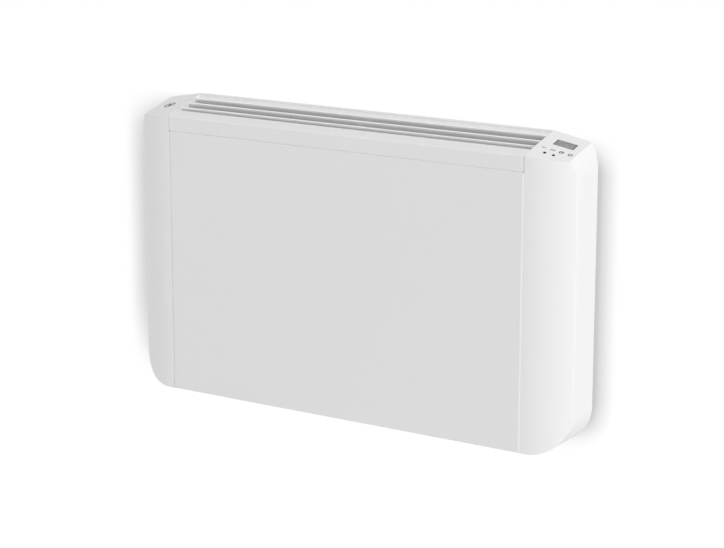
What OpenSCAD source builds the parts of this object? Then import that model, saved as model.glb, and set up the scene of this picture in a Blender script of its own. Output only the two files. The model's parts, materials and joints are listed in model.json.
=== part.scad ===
// Wall-hung electric convector heater, in millimetres.
// X runs to the right, the front faces -Y and Z is up. The wall is the plane y = 0,
// and the origin is the middle of the four wall fixings, at half the height of the case.

/* [Case] */
// Width of the front panel between the two end caps
panel_w = 606; // [560:1:900]
// Width of one end cap
cap_w = 70; // [66:1:84]
// Height of the case
case_h = 450; // [430:1:600]
// Depth of the case from front to back
case_d = 86; // [84:1:104]
// Fall of the top towards the front, in degrees
front_slope = 14; // [10:0.5:18]
// Fall of the cap tops towards the sides, in degrees
side_slope = 10.7; // [8:0.1:13]
// Visible gap at the seams between panel, rail and caps
seam_gap = 0.7; // [0.4:0.1:0.9]

/* [End caps] */
// Wall of the moulded end caps
cap_wall = 2.6; // [2.2:0.1:3]
// Radius of the outer top corners in the front view
corner_r = 66; // [50:1:66]
// Radius of the outer bottom corners in the front view
low_corner_r = 58; // [50:1:66]
// Width of the flat top, from the seam to the crease
cap_top_w = 59.5; // [58:0.5:61]
// Radius of the bulged front in the plan view
cap_arc_r = 102; // [95:1:130]
// Radius where the bulged front turns into the side
cap_edge_r = 8; // [6:0.5:12]
// Width of the rim round the cap's open inner side
cap_rim = 14; // [12:1:16]

/* [Front panel] */
// Thickness of the steel panel
panel_t = 1.2; // [0.8:0.1:1.6]
// Depth of the panel's folded edges
panel_fold = 14; // [12:1:18]
// Radius of the panel's upright front edges
panel_edge_r = 1.6; // [0.8:0.1:3]

/* [Outlet grille] */
// Wall of the top rail and of the back rail
rail_t = 1.6; // [1.2:0.1:2]
// Height of the top rail's front face
rail_face_h = 24.5; // [18:0.5:32]
// Width of the top rail's upper face, along the slope
rail_top_w = 21.5; // [18:0.5:23]
// Radius of the top rail's rounded front edge
rail_nose_r = 3.2; // [2.4:0.1:5]
// Depth of the top rail's rear lip
rail_lip = 14; // [12:0.5:16]
// Length of the plugs at both ends of the top rail
rail_end_w = 7; // [5:0.5:10]
// Width of the back rail's upper face, along the slope
back_rail_w = 5; // [4:0.5:7]
// Step between the back rail's upper face and its apron
apron_step = 1.6; // [1:0.1:2.4]
// Fall of the apron towards the rear blade
apron_fall = 2.4; // [1:0.1:4]
// Height of the back rail
back_rail_h = 30; // [26:1:34]
// Distance from the back edge to the first blade, along the slope
blade_first = 16; // [13:0.5:18]
// Thickness of an outlet blade
blade_t = 2.2; // [1.6:0.1:2.6]
// Height of an outlet blade
blade_h = 16; // [14:0.5:18]
// How far the blades and rails lie below the caps' inner top edges
grille_drop = 1.2; // [0.6:0.1:3]
// Thickness of the combs that carry the blades
comb_t = 1.8; // [1.2:0.1:2.4]
// Depth of the blades in the combs
comb_grip = 7; // [5:0.5:8]

/* [Chassis] */
// Thickness of the chassis sheets
sheet_t = 1; // [0.8:0.1:1.2]
// Width of the chassis flanges
flange_w = 12; // [10:1:14]
// Thickness of the bottom grille
inlet_t = 2; // [1.6:0.1:3]
// Width of an air slot in the bottom grille
inlet_slot_w = 4; // [3:0.5:6]
// Pitch of the air slots
inlet_pitch = 12; // [10:0.5:16]
// Number of slot rows
inlet_rows = 3; // [2:1:3]
// Web between the slot rows
inlet_web = 5; // [4:0.5:8]

/* [Heating element] */
// Length of the finned body
element_l = 500; // [420:1:520]
// Height of the element's axis above the bottom of the case
element_h = 165; // [140:1:180]
// Distance of the element's axis in front of the case's back
element_y = 42; // [40:1:44]
// Radius of the element's core
core_r = 9; // [7:0.5:10]
// Reach of the four fins from the axis
fin_reach = 32; // [26:1:33]
// Thickness of a fin
fin_t = 2.2; // [1.6:0.1:3]
// Radius of the sheathed rod
rod_r = 4.25; // [3:0.05:5]
// Length that the rod stands out of the body at each end
rod_out = 34; // [30:1:36]
// Distance from the finned body to a bracket
bracket_gap = 12; // [10:1:14]
// Thickness of the element's brackets
bracket_t = 1.5; // [1:0.1:2]
// Height of the heat shields
shield_h = 280; // [240:1:300]
// Thickness of the heat shields
shield_t = 0.8; // [0.6:0.1:1]
// Distance from the back panel to the rear shield
shield_gap = 13; // [11:1:13]
// Distance from the rear shield's folded ends to the element's brackets
shield_end_gap = 22; // [10:1:40]

/* [Control panel] */
// Length of the display opening
lcd_w = 32; // [28:0.5:33]
// Height of the display opening
lcd_h = 17; // [14:0.5:18]
// Middle of the display, outwards from the seam
lcd_u = 33; // [32:0.5:34]
// Middle of the display, forwards from the back edge
lcd_v = 29.5; // [28:0.5:31]
// Radius of the four flat keys
key_r = 4; // [3:0.1:4.2]
// Radius of the two small keys
dot_r = 2; // [1.5:0.1:2.4]
// Distance between neighbouring keys
key_pitch = 13.4; // [12.5:0.1:13.5]
// Middle of the first key, outwards from the seam
key_u = 12.4; // [12:0.1:13]
// Row of the flat keys, forwards from the back edge
key_v = 54; // [53:0.5:55]
// Row of the small keys, forwards from the back edge
dot_v = 67; // [66:0.5:68]
// Middle of the first small key, outwards from the seam
dot_u = 20; // [19:0.5:21]
// Travel of a key
key_travel = 0.6; // [0.3:0.1:0.8]
// Running clearance round a key
key_clear = 0.15; // [0.1:0.05:0.25]
// Depth of the display board below the cap's top
board_depth = 9; // [8.5:0.1:10]
// Thickness of the circuit boards
board_t = 1.6; // [1:0.1:2]

/* [Cable entry] */
// Radius of the bore for the supply cord
gland_bore_r = 3.75; // [3:0.05:5]
// Radius of the gland where it passes the cap's back wall
gland_r = 7.5; // [7:0.1:9]
// Height of the gland above the bottom of the case
gland_h = 75; // [70:1:90]

/* [Wall bracket] */
// Distance between the wall and the back of the case
wall_gap = 18; // [16:1:24]
// Distance between the wall fixings, left to right
fix_span_x = 360; // [300:1:400]
// Distance between the wall fixings, top to bottom
fix_span_z = 240; // [200:1:260]
// Radius of a fixing hole
fix_hole_r = 3.25; // [2.5:0.05:4]
// Thickness of the bracket's steel
bracket_steel = 2; // [1.5:0.1:2.2]
// Width of the bracket's upright channels
channel_w = 30; // [26:1:36]
// Height of a hook's tongue
hook_up = 12; // [8:1:14]
// Height of a hook's arm
hook_arm = 6; // [5:0.5:8]
// Travel of the case when it is lifted off its hooks
lift_travel = 20; // [18:1:24]

/* [Hidden] */
$fn = 64;
ROUND = 128;             // steps of the large arcs
BIG = 900;
SCREW_R = 1.9;           // cap screws
SCREW_HEAD_R = 3.6;
SCREW_HEAD_T = 2.2;
SCREW_REACH = 10;
SCREW_PLAY = 0.05;
ROD_PLAY = 0.05;         // the element's rod in its body and bushes
BOSS_R = 4.6;
BOSS_L = 12;
PIN_PLAY = 0.1;          // loose fits between pieces of the case
WIRE_EASE = 3;           // length over which a wire turns
WIRE_SIDES = 8;

y_back = -wall_gap;
y_front = -(wall_gap + case_d);
z_top = case_h / 2;
z_bot = -case_h / 2;
x_seam = panel_w / 2;
slope_d = case_d / cos(front_slope);
z_nose = z_top - case_d * tan(front_slope);
z_seam = z_nose - rail_face_h;

// The caps' plan: where the bulged front meets the small side arc
edge_sin = (cap_w - cap_edge_r) / (cap_arc_r - cap_edge_r);
edge_y = y_front + cap_arc_r - (cap_arc_r - cap_edge_r) * sqrt(1 - edge_sin * edge_sin);
// The caps' front view: the centre of the top corner, below the top edge
corner_u = cap_w - corner_r;
corner_drop = cap_top_w * tan(side_slope) + sqrt(pow(corner_r, 2) - pow(cap_top_w - corner_u, 2));

// Outlet: places along the slope, counted from the back edge
t_lip = slope_d - rail_top_w;
last_gap = 0.75;
blade_pitch = (t_lip - blade_first) / (2 + last_gap);
comb_top = grille_drop + blade_h - comb_grip;
comb_h = comb_grip + 4;
apron_end = blade_first - 0.6;

// Rear end of the combs at a depth below the outlet, just in front of the back rail's upright sheet
function comb_end(depth) = -(rail_t + 0.3 + depth * sin(front_slope)) / cos(front_slope);

z_rail = z_seam + seam_gap;
nose_y = y_front + rail_nose_r;
nose_z = z_top - (y_back - nose_y) * tan(front_slope) - (rail_nose_r + grille_drop) / cos(front_slope);

// Chassis planes
y_panel_in = y_back - sheet_t;
y_fold = y_front + panel_fold;
z_plate_top = z_seam;
z_plate_bot = z_bot + 1 + inlet_t;
x_plate = x_seam - sheet_t;

// Screws between the side plates and the caps
screw_behind = 22;
screw_front = 34;
screw_top = 10;
screw_low = 12;
screw_y = [y_back - screw_behind, y_front + screw_front];
screw_z = [z_plate_top - screw_top, z_bot + screw_low];

// Lower and upper edge of the opening in a cap's inner side, between the screws
cap_open_z = [z_bot + cap_rim + 8, screw_z[0] - BOSS_R - 1.4];

// Heating element, with the small ribs across its fins
rib_first = 7;
rib_pitch = 6;
rib_t = 1.3;
rib_w = 8;
elem_y = y_back - element_y;
elem_z = z_bot + element_h;
rod_end = element_l / 2 + rod_out;
x_bracket = element_l / 2 + bracket_gap;
bracket_over = 21;
bracket_front = 9;
bracket_half = core_r + bracket_over;
bush_r = core_r;
bush_flange = 3;
bush_tail = 4;
pin_l = 9;
y_shield = y_panel_in - shield_gap;
shield_half = x_bracket - shield_end_gap;
shield_below = 80;
shield_z = elem_z - shield_below;
cutout_in = 120;
cutout_up = 90;
cutout_x = shield_half - cutout_in;
cutout_z = elem_z + cutout_up;
cutout_r = 8;
cutout_d = 9;
cutout_reach = 14;
cutout_tab = 1;
cutout_tab_y = y_shield - 6;

// Wires that pass the right side plate
lead_r = 1.3;
lead_in = 22;
lead_drop = 32;
lead_pitch = 14;
lead_out = 7;
lead_y = y_back - lead_in;
lead_z = [elem_z - lead_drop, elem_z - lead_drop - lead_pitch];
lead_x = x_seam + lead_out;
grommet_r = 4;
grommet_lip = 1.5;

// Terminal block in front of the grommets
block_t = 18;
block_w = 32;
block_h = 36;
block_drop = 56;
block_gap = 2.5;
block_y = lead_y - grommet_r - grommet_lip - block_gap - block_w;
block_z = elem_z - block_drop;

// Power board above the terminal block
standoff = 8;
x_board = x_seam + standoff;
stand_in = 5;
board_behind = 17;
board_h = 120;
board_y = [block_y - stand_in, y_back - board_behind];
board_z = [elem_z, elem_z + board_h];
stand_y = [board_y[0] + stand_in, board_y[1] - stand_in];
stand_z = [board_z[0] + stand_in, board_z[1] - stand_in];

// Room sensor in front of the terminal block
sensor_l = 14;
sensor_w = 10;
sensor_h = 8;
sensor_bead = 2.4;
sensor_up = 36;
sensor_gap = 3;
sensor_y = block_y - sensor_gap;
sensor_z = z_bot + sensor_up;

// Room that the wires keep from what they pass
wire_room = 12;
wire_turn = 14;
wire_next = 20;

// Lead between the two boards
ribbon_u = 22;
ribbon_v = 47;
ribbon_r = 1.8;
ribbon_rise = 30;

// Display stack, as depths below the cap's top
pocket_t = 1.4;
window_t = 1;
window_play = 0.1;
ledge = 2;
flange_t = 1.2;
flange_extra = 1;
key_seat = cap_wall + 0.2;
plunger_top = key_seat + flange_t + key_travel + 0.05;
plunger_h = 1;
plunger_r = 1.6;
switch_w = 6;
lcd_play = 0.3;
lcd_frame = 1;
board_left = 6;
board_right = 57;
board_near = 14;
board_far = 72;
board_u = [board_left, board_right];
board_v = [board_near, board_far];
post_r = 2.7;
post_bore_r = 1.1;
post_u = [board_u[0] + 3.5, board_u[1] - 3.5];
post_v = [board_v[0] + 3.5, board_v[1] - 2.5];
// The front outer post stands further back, and the board's corner is cut, clear of the bulged front
post_back = 5;
board_cut = 9;
posts = [for (u = post_u, v = post_v) [u, v - (u == post_u[1] && v == post_v[1] ? post_back : 0)]];

// Gland in the right cap's back wall
gland_u = 34;
gland_lip = 2.5;
gland_nut = 4;
gland_flange = 3;
gland_tail = 4;

// Wall bracket and stops
buffer_r = 8;
buffer_in = 50;
buffer_up = 30;
wall_play = 0.3;
hook_x = fix_span_x / 2 + channel_w / 2 - bracket_steel / 2;
hook_in = 30;
hook_z = fix_span_z / 2 - hook_in;
channel_over = 18;
crossbar_h = 24;
channel_d = wall_gap - wall_play;
hook_slot_w = bracket_steel + 1.5;
hook_play = 0.1;
tongue_play = 0.6;
tongue_t = 2.7;

// A box from its lowest to its highest corner
module block(low, high) {
    translate(low) cube(high - low);
}

// A cylinder along X
module rod_x(x0, x1, y, z, r) {
    translate([x0, y, z]) rotate([0, 90, 0]) cylinder(h = x1 - x0, r = r);
}

// A cylinder along Y
module rod_y(y0, y1, x, z, r) {
    translate([x, y0, z]) rotate([-90, 0, 0]) cylinder(h = y1 - y0, r = r);
}

// A profile of [y, z] points or shapes, drawn out along X between two planes
module along_x(x0, x1) {
    translate([x0, 0, 0]) rotate([90, 0, 90]) linear_extrude(x1 - x0) children();
}

// The sloping frame of the outlet: its y runs up the slope, its z stands on it
module on_slope() {
    translate([0, y_back, z_top]) rotate([front_slope, 0, 0]) children();
}

// The frame of the right cap's top face: x runs outwards, y to the back, z out of the face
module on_cap_top(u, v) {
    translate([x_seam, y_back, z_top]) rotate([front_slope, 0, 0]) rotate([0, side_slope, 0])
        translate([u, -v, 0]) children();
}

// The same frame as a point: outwards, forwards and depth below the face
function cap_point(u, v, d) = let (
    a = u * cos(side_slope) - d * sin(side_slope),
    c = -u * sin(side_slope) - d * cos(side_slope)
) [x_seam + a,
   y_back - v * cos(front_slope) - c * sin(front_slope),
   z_top - v * sin(front_slope) + c * cos(front_slope)];

// The direction from one point of a route to the next
function heading(p, i) = (p[i + 1] - p[i]) / norm(p[i + 1] - p[i]);

// A route with each inner corner eased into a short bend
function eased(p, e) = [
    p[0],
    for (i = [1 : len(p) - 2]) let (a = p[i] - heading(p, i - 1) * e, b = p[i] + heading(p, i) * e)
        each [a, (a + b + 2 * p[i]) / 4, b],
    p[len(p) - 1]
];

// The normal of the plane in which a tube's ring lies: square to the ends, mitred between
function mitre(p, i) = i == 0 ? heading(p, 0) :
    i == len(p) - 1 ? heading(p, i - 1) : heading(p, i - 1) + heading(p, i);

// The rings of a tube: each one is the last, drawn along the route on to the next plane
function rings(p, first, i = 0, last = []) = let (
    d = i == 0 ? [0, 0, 0] : heading(p, i - 1),
    n = mitre(p, i),
    ring = i == 0 ? first : [for (q = last) q + d * ((p[i] - q) * n) / (d * n)]
) i == len(p) - 1 ? [ring] : concat([ring], rings(p, first, i + 1, ring));

// An insulated wire along an eased route
module wire(route, r) {
    p = eased(route, WIRE_EASE);
    d = heading(p, 0);
    side = cross(d, abs(d[2]) < 0.9 ? [0, 0, 1] : [0, 1, 0]);
    u = side / norm(side);
    v = cross(d, u);
    all = rings(p, [for (k = [0 : WIRE_SIDES - 1]) let (a = k * 360 / WIRE_SIDES)
                    p[0] + r * (u * cos(a) + v * sin(a))]);
    m = len(p) * WIRE_SIDES;
    polyhedron(
        points = [for (ring = all, q = ring) q],
        faces = [
            [for (k = [0 : WIRE_SIDES - 1]) k],
            for (i = [0 : len(p) - 2], k = [0 : WIRE_SIDES - 1])
                let (a = i * WIRE_SIDES + k, b = i * WIRE_SIDES + (k + 1) % WIRE_SIDES)
                each [[a, a + WIRE_SIDES, b], [b, a + WIRE_SIDES, b + WIRE_SIDES]],
            [for (k = [WIRE_SIDES - 1 : -1 : 0]) m - WIRE_SIDES + k]
        ]
    );
}

// Plan of the right cap, drawn in by an inset
module cap_plan(inset) {
    reach = (cap_arc_r - inset) * edge_sin;
    intersection() {
        translate([0, y_front + cap_arc_r]) circle(r = cap_arc_r - inset, $fn = ROUND * 2);
        translate([inset, y_front]) square([reach - inset, case_d - inset]);
    }
    translate([cap_w - cap_edge_r, edge_y]) circle(r = cap_edge_r - inset, $fn = ROUND);
    translate([cap_w - cap_edge_r, edge_y]) square([cap_edge_r - inset, y_back - inset - edge_y]);
}

// Front view of the right cap with its rounded bottom corner
module cap_front_view(inset) {
    middle = cap_w - low_corner_r;
    translate([-1, z_bot + inset]) square([middle + 1, BIG]);
    translate([-1, z_bot + low_corner_r]) square([cap_w - inset + 1, BIG]);
    translate([middle, z_bot + low_corner_r]) circle(r = low_corner_r - inset, $fn = ROUND);
}

// View along the slope of the right cap with its falling top and its crease
module cap_slope_view(inset) {
    drop = inset / cos(side_slope);
    intersection() {
        polygon([[-1, -BIG], [cap_w + 1, -BIG], [cap_w + 1, -(cap_w + 1) * tan(side_slope) - drop],
                 [-1, tan(side_slope) - drop]]);
        union() {
            translate([-1, -BIG]) square([corner_u + 1, BIG * 2]);
            translate([-1, -BIG]) square([cap_w - inset + 1, BIG - corner_drop]);
            translate([corner_u, -corner_drop]) circle(r = corner_r - inset, $fn = ROUND);
        }
    }
}

// Solid form of the right cap, drawn in by an inset
module cap_form(inset) {
    translate([x_seam, 0, 0]) intersection() {
        translate([0, 0, z_bot - 1]) linear_extrude(case_h + 2) cap_plan(inset);
        translate([0, y_back + 1, 0]) rotate([90, 0, 0]) linear_extrude(case_d + 2) cap_front_view(inset);
        translate([0, y_back, z_top]) rotate([front_slope, 0, 0]) translate([0, case_d, 0])
            rotate([90, 0, 0]) linear_extrude(case_d * 4) cap_slope_view(inset);
    }
}

// Moulded shell of the right cap: open towards the chassis, closed beside the outlet
module cap_shell() {
    difference() {
        cap_form(0);
        cap_form(cap_wall);
        block([x_seam - 1, y_front + cap_rim, cap_open_z[0]],
              [x_seam + cap_wall + 1, y_back - cap_rim, cap_open_z[1]]);
        for (y = screw_y, z = screw_z) rod_x(x_seam - 1, x_seam + cap_wall + 1, y, z, BOSS_R - 1);
    }
    for (y = screw_y, z = screw_z) difference() {
        rod_x(x_seam, x_seam + BOSS_L, y, z, BOSS_R);
        rod_x(x_seam - 1, x_seam + SCREW_REACH + 0.5, y, z, SCREW_R + SCREW_PLAY);
    }
}

// Folded steel tray between the caps, below the top rail
module front_panel() {
    w = x_seam - seam_gap;
    color("gainsboro") translate([0, 0, z_bot]) difference() {
        linear_extrude(z_seam - z_bot) {
            for (s = [-1, 1]) translate([s * (w - panel_edge_r), y_front + panel_edge_r])
                circle(r = panel_edge_r);
            translate([-w + panel_edge_r, y_front]) square([2 * (w - panel_edge_r), panel_fold]);
            translate([-w, y_front + panel_edge_r]) square([2 * w, panel_fold - panel_edge_r]);
        }
        block([-w + panel_t, y_front + panel_t, panel_t],
              [w - panel_t, y_fold + 1, z_seam - z_bot - panel_t]);
    }
}

// Section of the top rail: front face, rounded edge, sloping top, rear lip and bottom flange
module rail_section() {
    difference() {
        union() {
            translate([nose_y, nose_z]) circle(r = rail_nose_r);
            translate([y_front, z_rail]) square([rail_nose_r * 2, nose_z - z_rail]);
            translate([y_back, z_top]) rotate(front_slope)
                translate([-slope_d + rail_nose_r, -grille_drop - rail_nose_r * 2])
                square([rail_top_w - rail_nose_r, rail_nose_r * 2]);
        }
        translate([nose_y, nose_z]) circle(r = rail_nose_r - rail_t);
        translate([y_front + rail_t, z_rail - 1]) square([rail_nose_r * 3, nose_z - z_rail + 1]);
        translate([y_back, z_top]) rotate(front_slope)
            translate([-slope_d + rail_nose_r, -grille_drop - rail_t - rail_nose_r * 3])
            square([rail_top_w, rail_nose_r * 3]);
    }
    translate([y_front, z_rail]) square([flange_w, rail_t]);
    translate([y_back, z_top]) rotate(front_slope)
        translate([-t_lip - rail_t, -grille_drop - rail_lip]) square([rail_t, rail_lip]);
}

// Top rail between its two end plugs
module top_rail() {
    reach = x_seam - seam_gap - rail_end_w;
    color("gainsboro") along_x(-reach, reach) rail_section();
}

// Plug that closes one end of the top rail
module rail_end() {
    reach = x_seam - seam_gap;
    color("gainsboro") along_x(reach - rail_end_w, reach) intersection() {
        union() {
            translate([nose_y, nose_z]) circle(r = rail_nose_r);
            translate([y_front, z_rail]) square([slope_d, nose_z - z_rail]);
            translate([nose_y, z_rail]) square([slope_d, BIG]);
        }
        translate([y_back, z_top]) rotate(front_slope)
            translate([-slope_d * 2, -BIG]) square([slope_d * 2 - t_lip, BIG - grille_drop]);
    }
}

// Section of one outlet blade with a rounded upper edge, counted from the back
module blade_section(k) {
    at = blade_first + k * blade_pitch;
    translate([-at - blade_t, -grille_drop - blade_h]) square([blade_t, blade_h - blade_t / 2]);
    translate([-at - blade_t / 2, -grille_drop - blade_t / 2]) circle(d = blade_t);
}

module blade(k) {
    reach = x_seam - PIN_PLAY;
    color("whitesmoke") on_slope() along_x(-reach, reach) blade_section(k);
}

// Comb that carries the blades between the back rail and the top rail's lip
module comb(x) {
    color("whitesmoke") on_slope() along_x(x, x + comb_t) difference() {
        polygon([[-t_lip, -comb_top], [-t_lip, -comb_top - comb_h],
                 [comb_end(comb_top + comb_h), -comb_top - comb_h], [comb_end(comb_top), -comb_top]]);
        for (k = [0 : 2]) blade_section(k);
    }
}

// Rear edge of the outlet: upper face, step and apron up to the rear blade, with a joggle below
// that goes inside the back panel
module back_rail() {
    reach = x_seam - PIN_PLAY;
    color("gainsboro") along_x(-reach, reach) {
        translate([y_back - rail_t, z_top - back_rail_h])
            square([rail_t, back_rail_h - rail_t / 2]);
        translate([y_back - sheet_t - rail_t, z_top - back_rail_h - 12])
            square([rail_t, 12 + rail_t]);
        intersection() {
            translate([y_back, z_top]) rotate(front_slope) {
                translate([-back_rail_w, -rail_t]) square([back_rail_w + rail_t, rail_t]);
                translate([-back_rail_w, -apron_step - rail_t]) square([rail_t, apron_step + rail_t]);
                polygon([[-back_rail_w + rail_t, -apron_step], [-apron_end, -apron_step - apron_fall],
                         [-apron_end, -apron_step - apron_fall - rail_t],
                         [-back_rail_w + rail_t, -apron_step - rail_t]]);
            }
            translate([y_back - BIG, z_top - back_rail_h * 2]) square([BIG, back_rail_h * 3]);
        }
    }
}

module end_cap_left() {
    color("white") mirror([1, 0, 0]) cap_shell();
}

module end_cap_right() {
    color("white") difference() {
        union() {
            cap_shell();
            for (q = posts) on_cap_top(q[0], q[1]) difference() {
                translate([0, 0, -board_depth]) cylinder(h = board_depth - cap_wall / 2, r = post_r);
                translate([0, 0, -board_depth - 1]) cylinder(h = 5, r = post_bore_r);
            }
        }
        // Display pocket and the opening in its floor
        on_cap_top(lcd_u, lcd_v) {
            translate([-lcd_w / 2, -lcd_h / 2, -pocket_t]) cube([lcd_w, lcd_h, pocket_t + 1]);
            translate([-lcd_w / 2 + ledge, -lcd_h / 2 + ledge, -cap_wall - 1])
                cube([lcd_w - 2 * ledge, lcd_h - 2 * ledge, cap_wall + 1]);
        }
        for (i = [0 : 3]) on_cap_top(key_u + i * key_pitch, key_v)
            translate([0, 0, -cap_wall - 0.5]) cylinder(h = cap_wall + 2, r = key_r + key_clear);
        for (i = [0, 1]) on_cap_top(dot_u + i * key_pitch, dot_v)
            translate([0, 0, -cap_wall - 0.5]) cylinder(h = cap_wall + 2, r = dot_r + key_clear);
        rod_y(y_back - cap_wall - 1, y_back + 1, x_seam + gland_u, z_bot + gland_h, gland_r + PIN_PLAY);
    }
}

// Steel plate behind a cap's open side, with flanges for the front and the back
module side_plate() {
    difference() {
        union() {
            block([x_plate, y_fold, z_plate_bot], [x_seam, y_panel_in, z_plate_top]);
            block([x_seam - flange_w, y_fold, z_plate_bot], [x_seam, y_fold + sheet_t, z_plate_top]);
            block([x_seam - flange_w, y_panel_in - sheet_t, z_plate_bot],
                  [x_seam, y_panel_in, z_plate_top]);
        }
        for (y = screw_y, z = screw_z) rod_x(x_plate - 1, x_seam + 1, y, z, SCREW_R + 0.2);
        for (z = lead_z) rod_x(x_plate - 1, x_seam + 1, lead_y, z, grommet_r);
    }
}

module side_plate_left() {
    color("lightgray") mirror([1, 0, 0]) side_plate();
}

module side_plate_right() {
    color("lightgray") side_plate();
}

// Back sheet with the four slots for the bracket's hooks
module back_panel() {
    low = z_plate_bot;
    high = z_top - back_rail_h;
    color("silver") difference() {
        union() {
            block([-x_seam + PIN_PLAY, y_panel_in, low], [x_seam - PIN_PLAY, y_back, high]);
            block([-x_seam + flange_w * 2, y_panel_in - flange_w, low],
                  [x_seam - flange_w * 2, y_panel_in, low + sheet_t]);
        }
        for (s = [-1, 1], t = [-1, 1]) block(
            [s * hook_x - hook_slot_w / 2, y_panel_in - 1, t * hook_z - hook_arm - lift_travel - 2],
            [s * hook_x + hook_slot_w / 2, y_back + 1, t * hook_z + hook_play]);
    }
}

// Slotted plate in the open bottom of the case
module inlet_grille() {
    y0 = y_fold + 0.3;
    y1 = y_back - 0.3;
    half = x_seam - PIN_PLAY;
    slot_l = (y1 - y0 - inlet_web * (inlet_rows + 1)) / inlet_rows;
    columns = floor((2 * half - 24) / inlet_pitch);
    color("whitesmoke") difference() {
        block([-half, y0, z_bot + 1], [half, y1, z_bot + 1 + inlet_t]);
        for (i = [0 : columns - 1], j = [0 : inlet_rows - 1])
            translate([(i - (columns - 1) / 2) * inlet_pitch - inlet_slot_w / 2,
                       y0 + inlet_web + j * (slot_l + inlet_web), z_bot])
            cube([inlet_slot_w, slot_l, inlet_t + 2]);
    }
}

// Sheet that keeps the front panel cool, held on the side plates' flanges
module front_shield() {
    color("silver") block([-x_plate + PIN_PLAY, y_fold + sheet_t, shield_z],
                          [x_plate - PIN_PLAY, y_fold + sheet_t + shield_t, shield_z + shield_h]);
}

// Channel-shaped sheet behind the element, standing on the back panel
module rear_shield() {
    color("silver") {
        block([-shield_half, y_shield, shield_z], [shield_half, y_shield + shield_t, shield_z + shield_h]);
        for (s = [-1, 1])
            block([s * shield_half - (s + 1) / 2 * shield_t, y_shield, shield_z],
                  [s * shield_half - (s - 1) / 2 * shield_t, y_panel_in, shield_z + shield_h]);
    }
}

// Extruded body with a round core, four ribbed fins and a bore for the rod
module heating_element() {
    color("lightsteelblue") translate([0, elem_y, elem_z]) along_x(-element_l / 2, element_l / 2)
    difference() {
        union() {
            circle(r = core_r);
            for (a = [45 : 90 : 315]) rotate(a) {
                translate([0, -fin_t / 2]) square([fin_reach, fin_t]);
                for (r = [core_r + rib_first : rib_pitch : fin_reach - rib_t])
                    translate([r, -rib_w / 2]) square([rib_t, rib_w]);
            }
        }
        circle(r = rod_r + ROD_PLAY);
    }
}

module element_rod() {
    color("dimgray") rod_x(-rod_end, rod_end, elem_y, elem_z, rod_r);
}

// Connection pins at the two ends of the rod
module element_terminals() {
    color("goldenrod") for (s = [0, 1]) mirror([s, 0, 0]) {
        rod_x(rod_end, rod_end + 3, elem_y, elem_z, rod_r - 1);
        rod_x(rod_end + 3, rod_end + pin_l, elem_y, elem_z, 1.6);
    }
}

// Flanged ceramic bush that holds the rod in its bracket
module insulator() {
    color("ivory") difference() {
        union() {
            rod_x(x_bracket - bush_flange, x_bracket, elem_y, elem_z, bush_r + bush_flange);
            rod_x(x_bracket - bush_flange, x_bracket + bracket_t + bush_tail, elem_y, elem_z, bush_r);
        }
        rod_x(x_bracket - bush_flange - 1, x_bracket + bracket_t + bush_tail + 1, elem_y, elem_z,
              rod_r + ROD_PLAY);
    }
}

module insulator_left() {
    mirror([1, 0, 0]) insulator();
}

module insulator_right() {
    insulator();
}

// Upright plate with a foot on the back panel
module element_bracket() {
    color("silver") difference() {
        union() {
            block([x_bracket, elem_y - bush_r - bracket_front, elem_z - bracket_half],
                  [x_bracket + bracket_t, y_panel_in, elem_z + bracket_half]);
            block([x_bracket, y_panel_in - bracket_t, elem_z - bracket_half],
                  [x_bracket + flange_w, y_panel_in, elem_z + bracket_half]);
        }
        rod_x(x_bracket - 1, x_bracket + bracket_t + 1, elem_y, elem_z, bush_r + ROD_PLAY);
    }
}

module element_bracket_left() {
    mirror([1, 0, 0]) element_bracket();
}

module element_bracket_right() {
    element_bracket();
}

// Disc thermostat on the rear shield, with a tab on each side
module thermal_cutout() {
    color("dimgray") {
        rod_y(y_shield - cutout_d, y_shield, cutout_x, cutout_z, cutout_r);
        rod_y(y_shield - cutout_d - 2, y_shield - cutout_d, cutout_x, cutout_z, cutout_r - 2);
        block([cutout_x - cutout_reach, cutout_tab_y, cutout_z - 3],
              [cutout_x + cutout_reach, cutout_tab_y + cutout_tab, cutout_z + 3]);
    }
}

// Three wires: neutral to the far end, live to the cut-out, and on to the near end
module element_leads() {
    tab_y = cutout_tab_y + cutout_tab / 2;
    tab_x = [cutout_x - cutout_reach, cutout_x + cutout_reach];
    z_under = elem_z - bracket_half - wire_room;
    z_over = cutout_z + 2 * wire_room;
    post_x = rod_end + pin_l + wire_room / 3;
    y_block = block_y + block_w;
    color("firebrick") {
        wire([[lead_x, y_block, lead_z[0]], [lead_x, lead_y, lead_z[0]],
              [x_seam - wire_turn, lead_y, lead_z[0]], [x_seam - wire_turn, elem_y + wire_room, z_under],
              [-post_x, elem_y + wire_room, z_under], [-post_x, elem_y, elem_z - wire_room],
              [-post_x, elem_y, elem_z], [-rod_end - pin_l, elem_y, elem_z]], lead_r);
        wire([[lead_x, y_block, lead_z[1]], [lead_x, lead_y, lead_z[1]],
              [x_seam - wire_next, lead_y, lead_z[1]], [x_seam - wire_next, lead_y - wire_room, cutout_z],
              [tab_x[1] + wire_room, tab_y, cutout_z], [tab_x[1], tab_y, cutout_z]], lead_r);
        wire([[tab_x[0], tab_y, cutout_z], [tab_x[0] - wire_room, tab_y, cutout_z],
              [tab_x[0] - wire_room, tab_y, z_over], [post_x, elem_y, z_over],
              [post_x, elem_y, elem_z], [rod_end + pin_l, elem_y, elem_z]], lead_r);
    }
}

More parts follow.
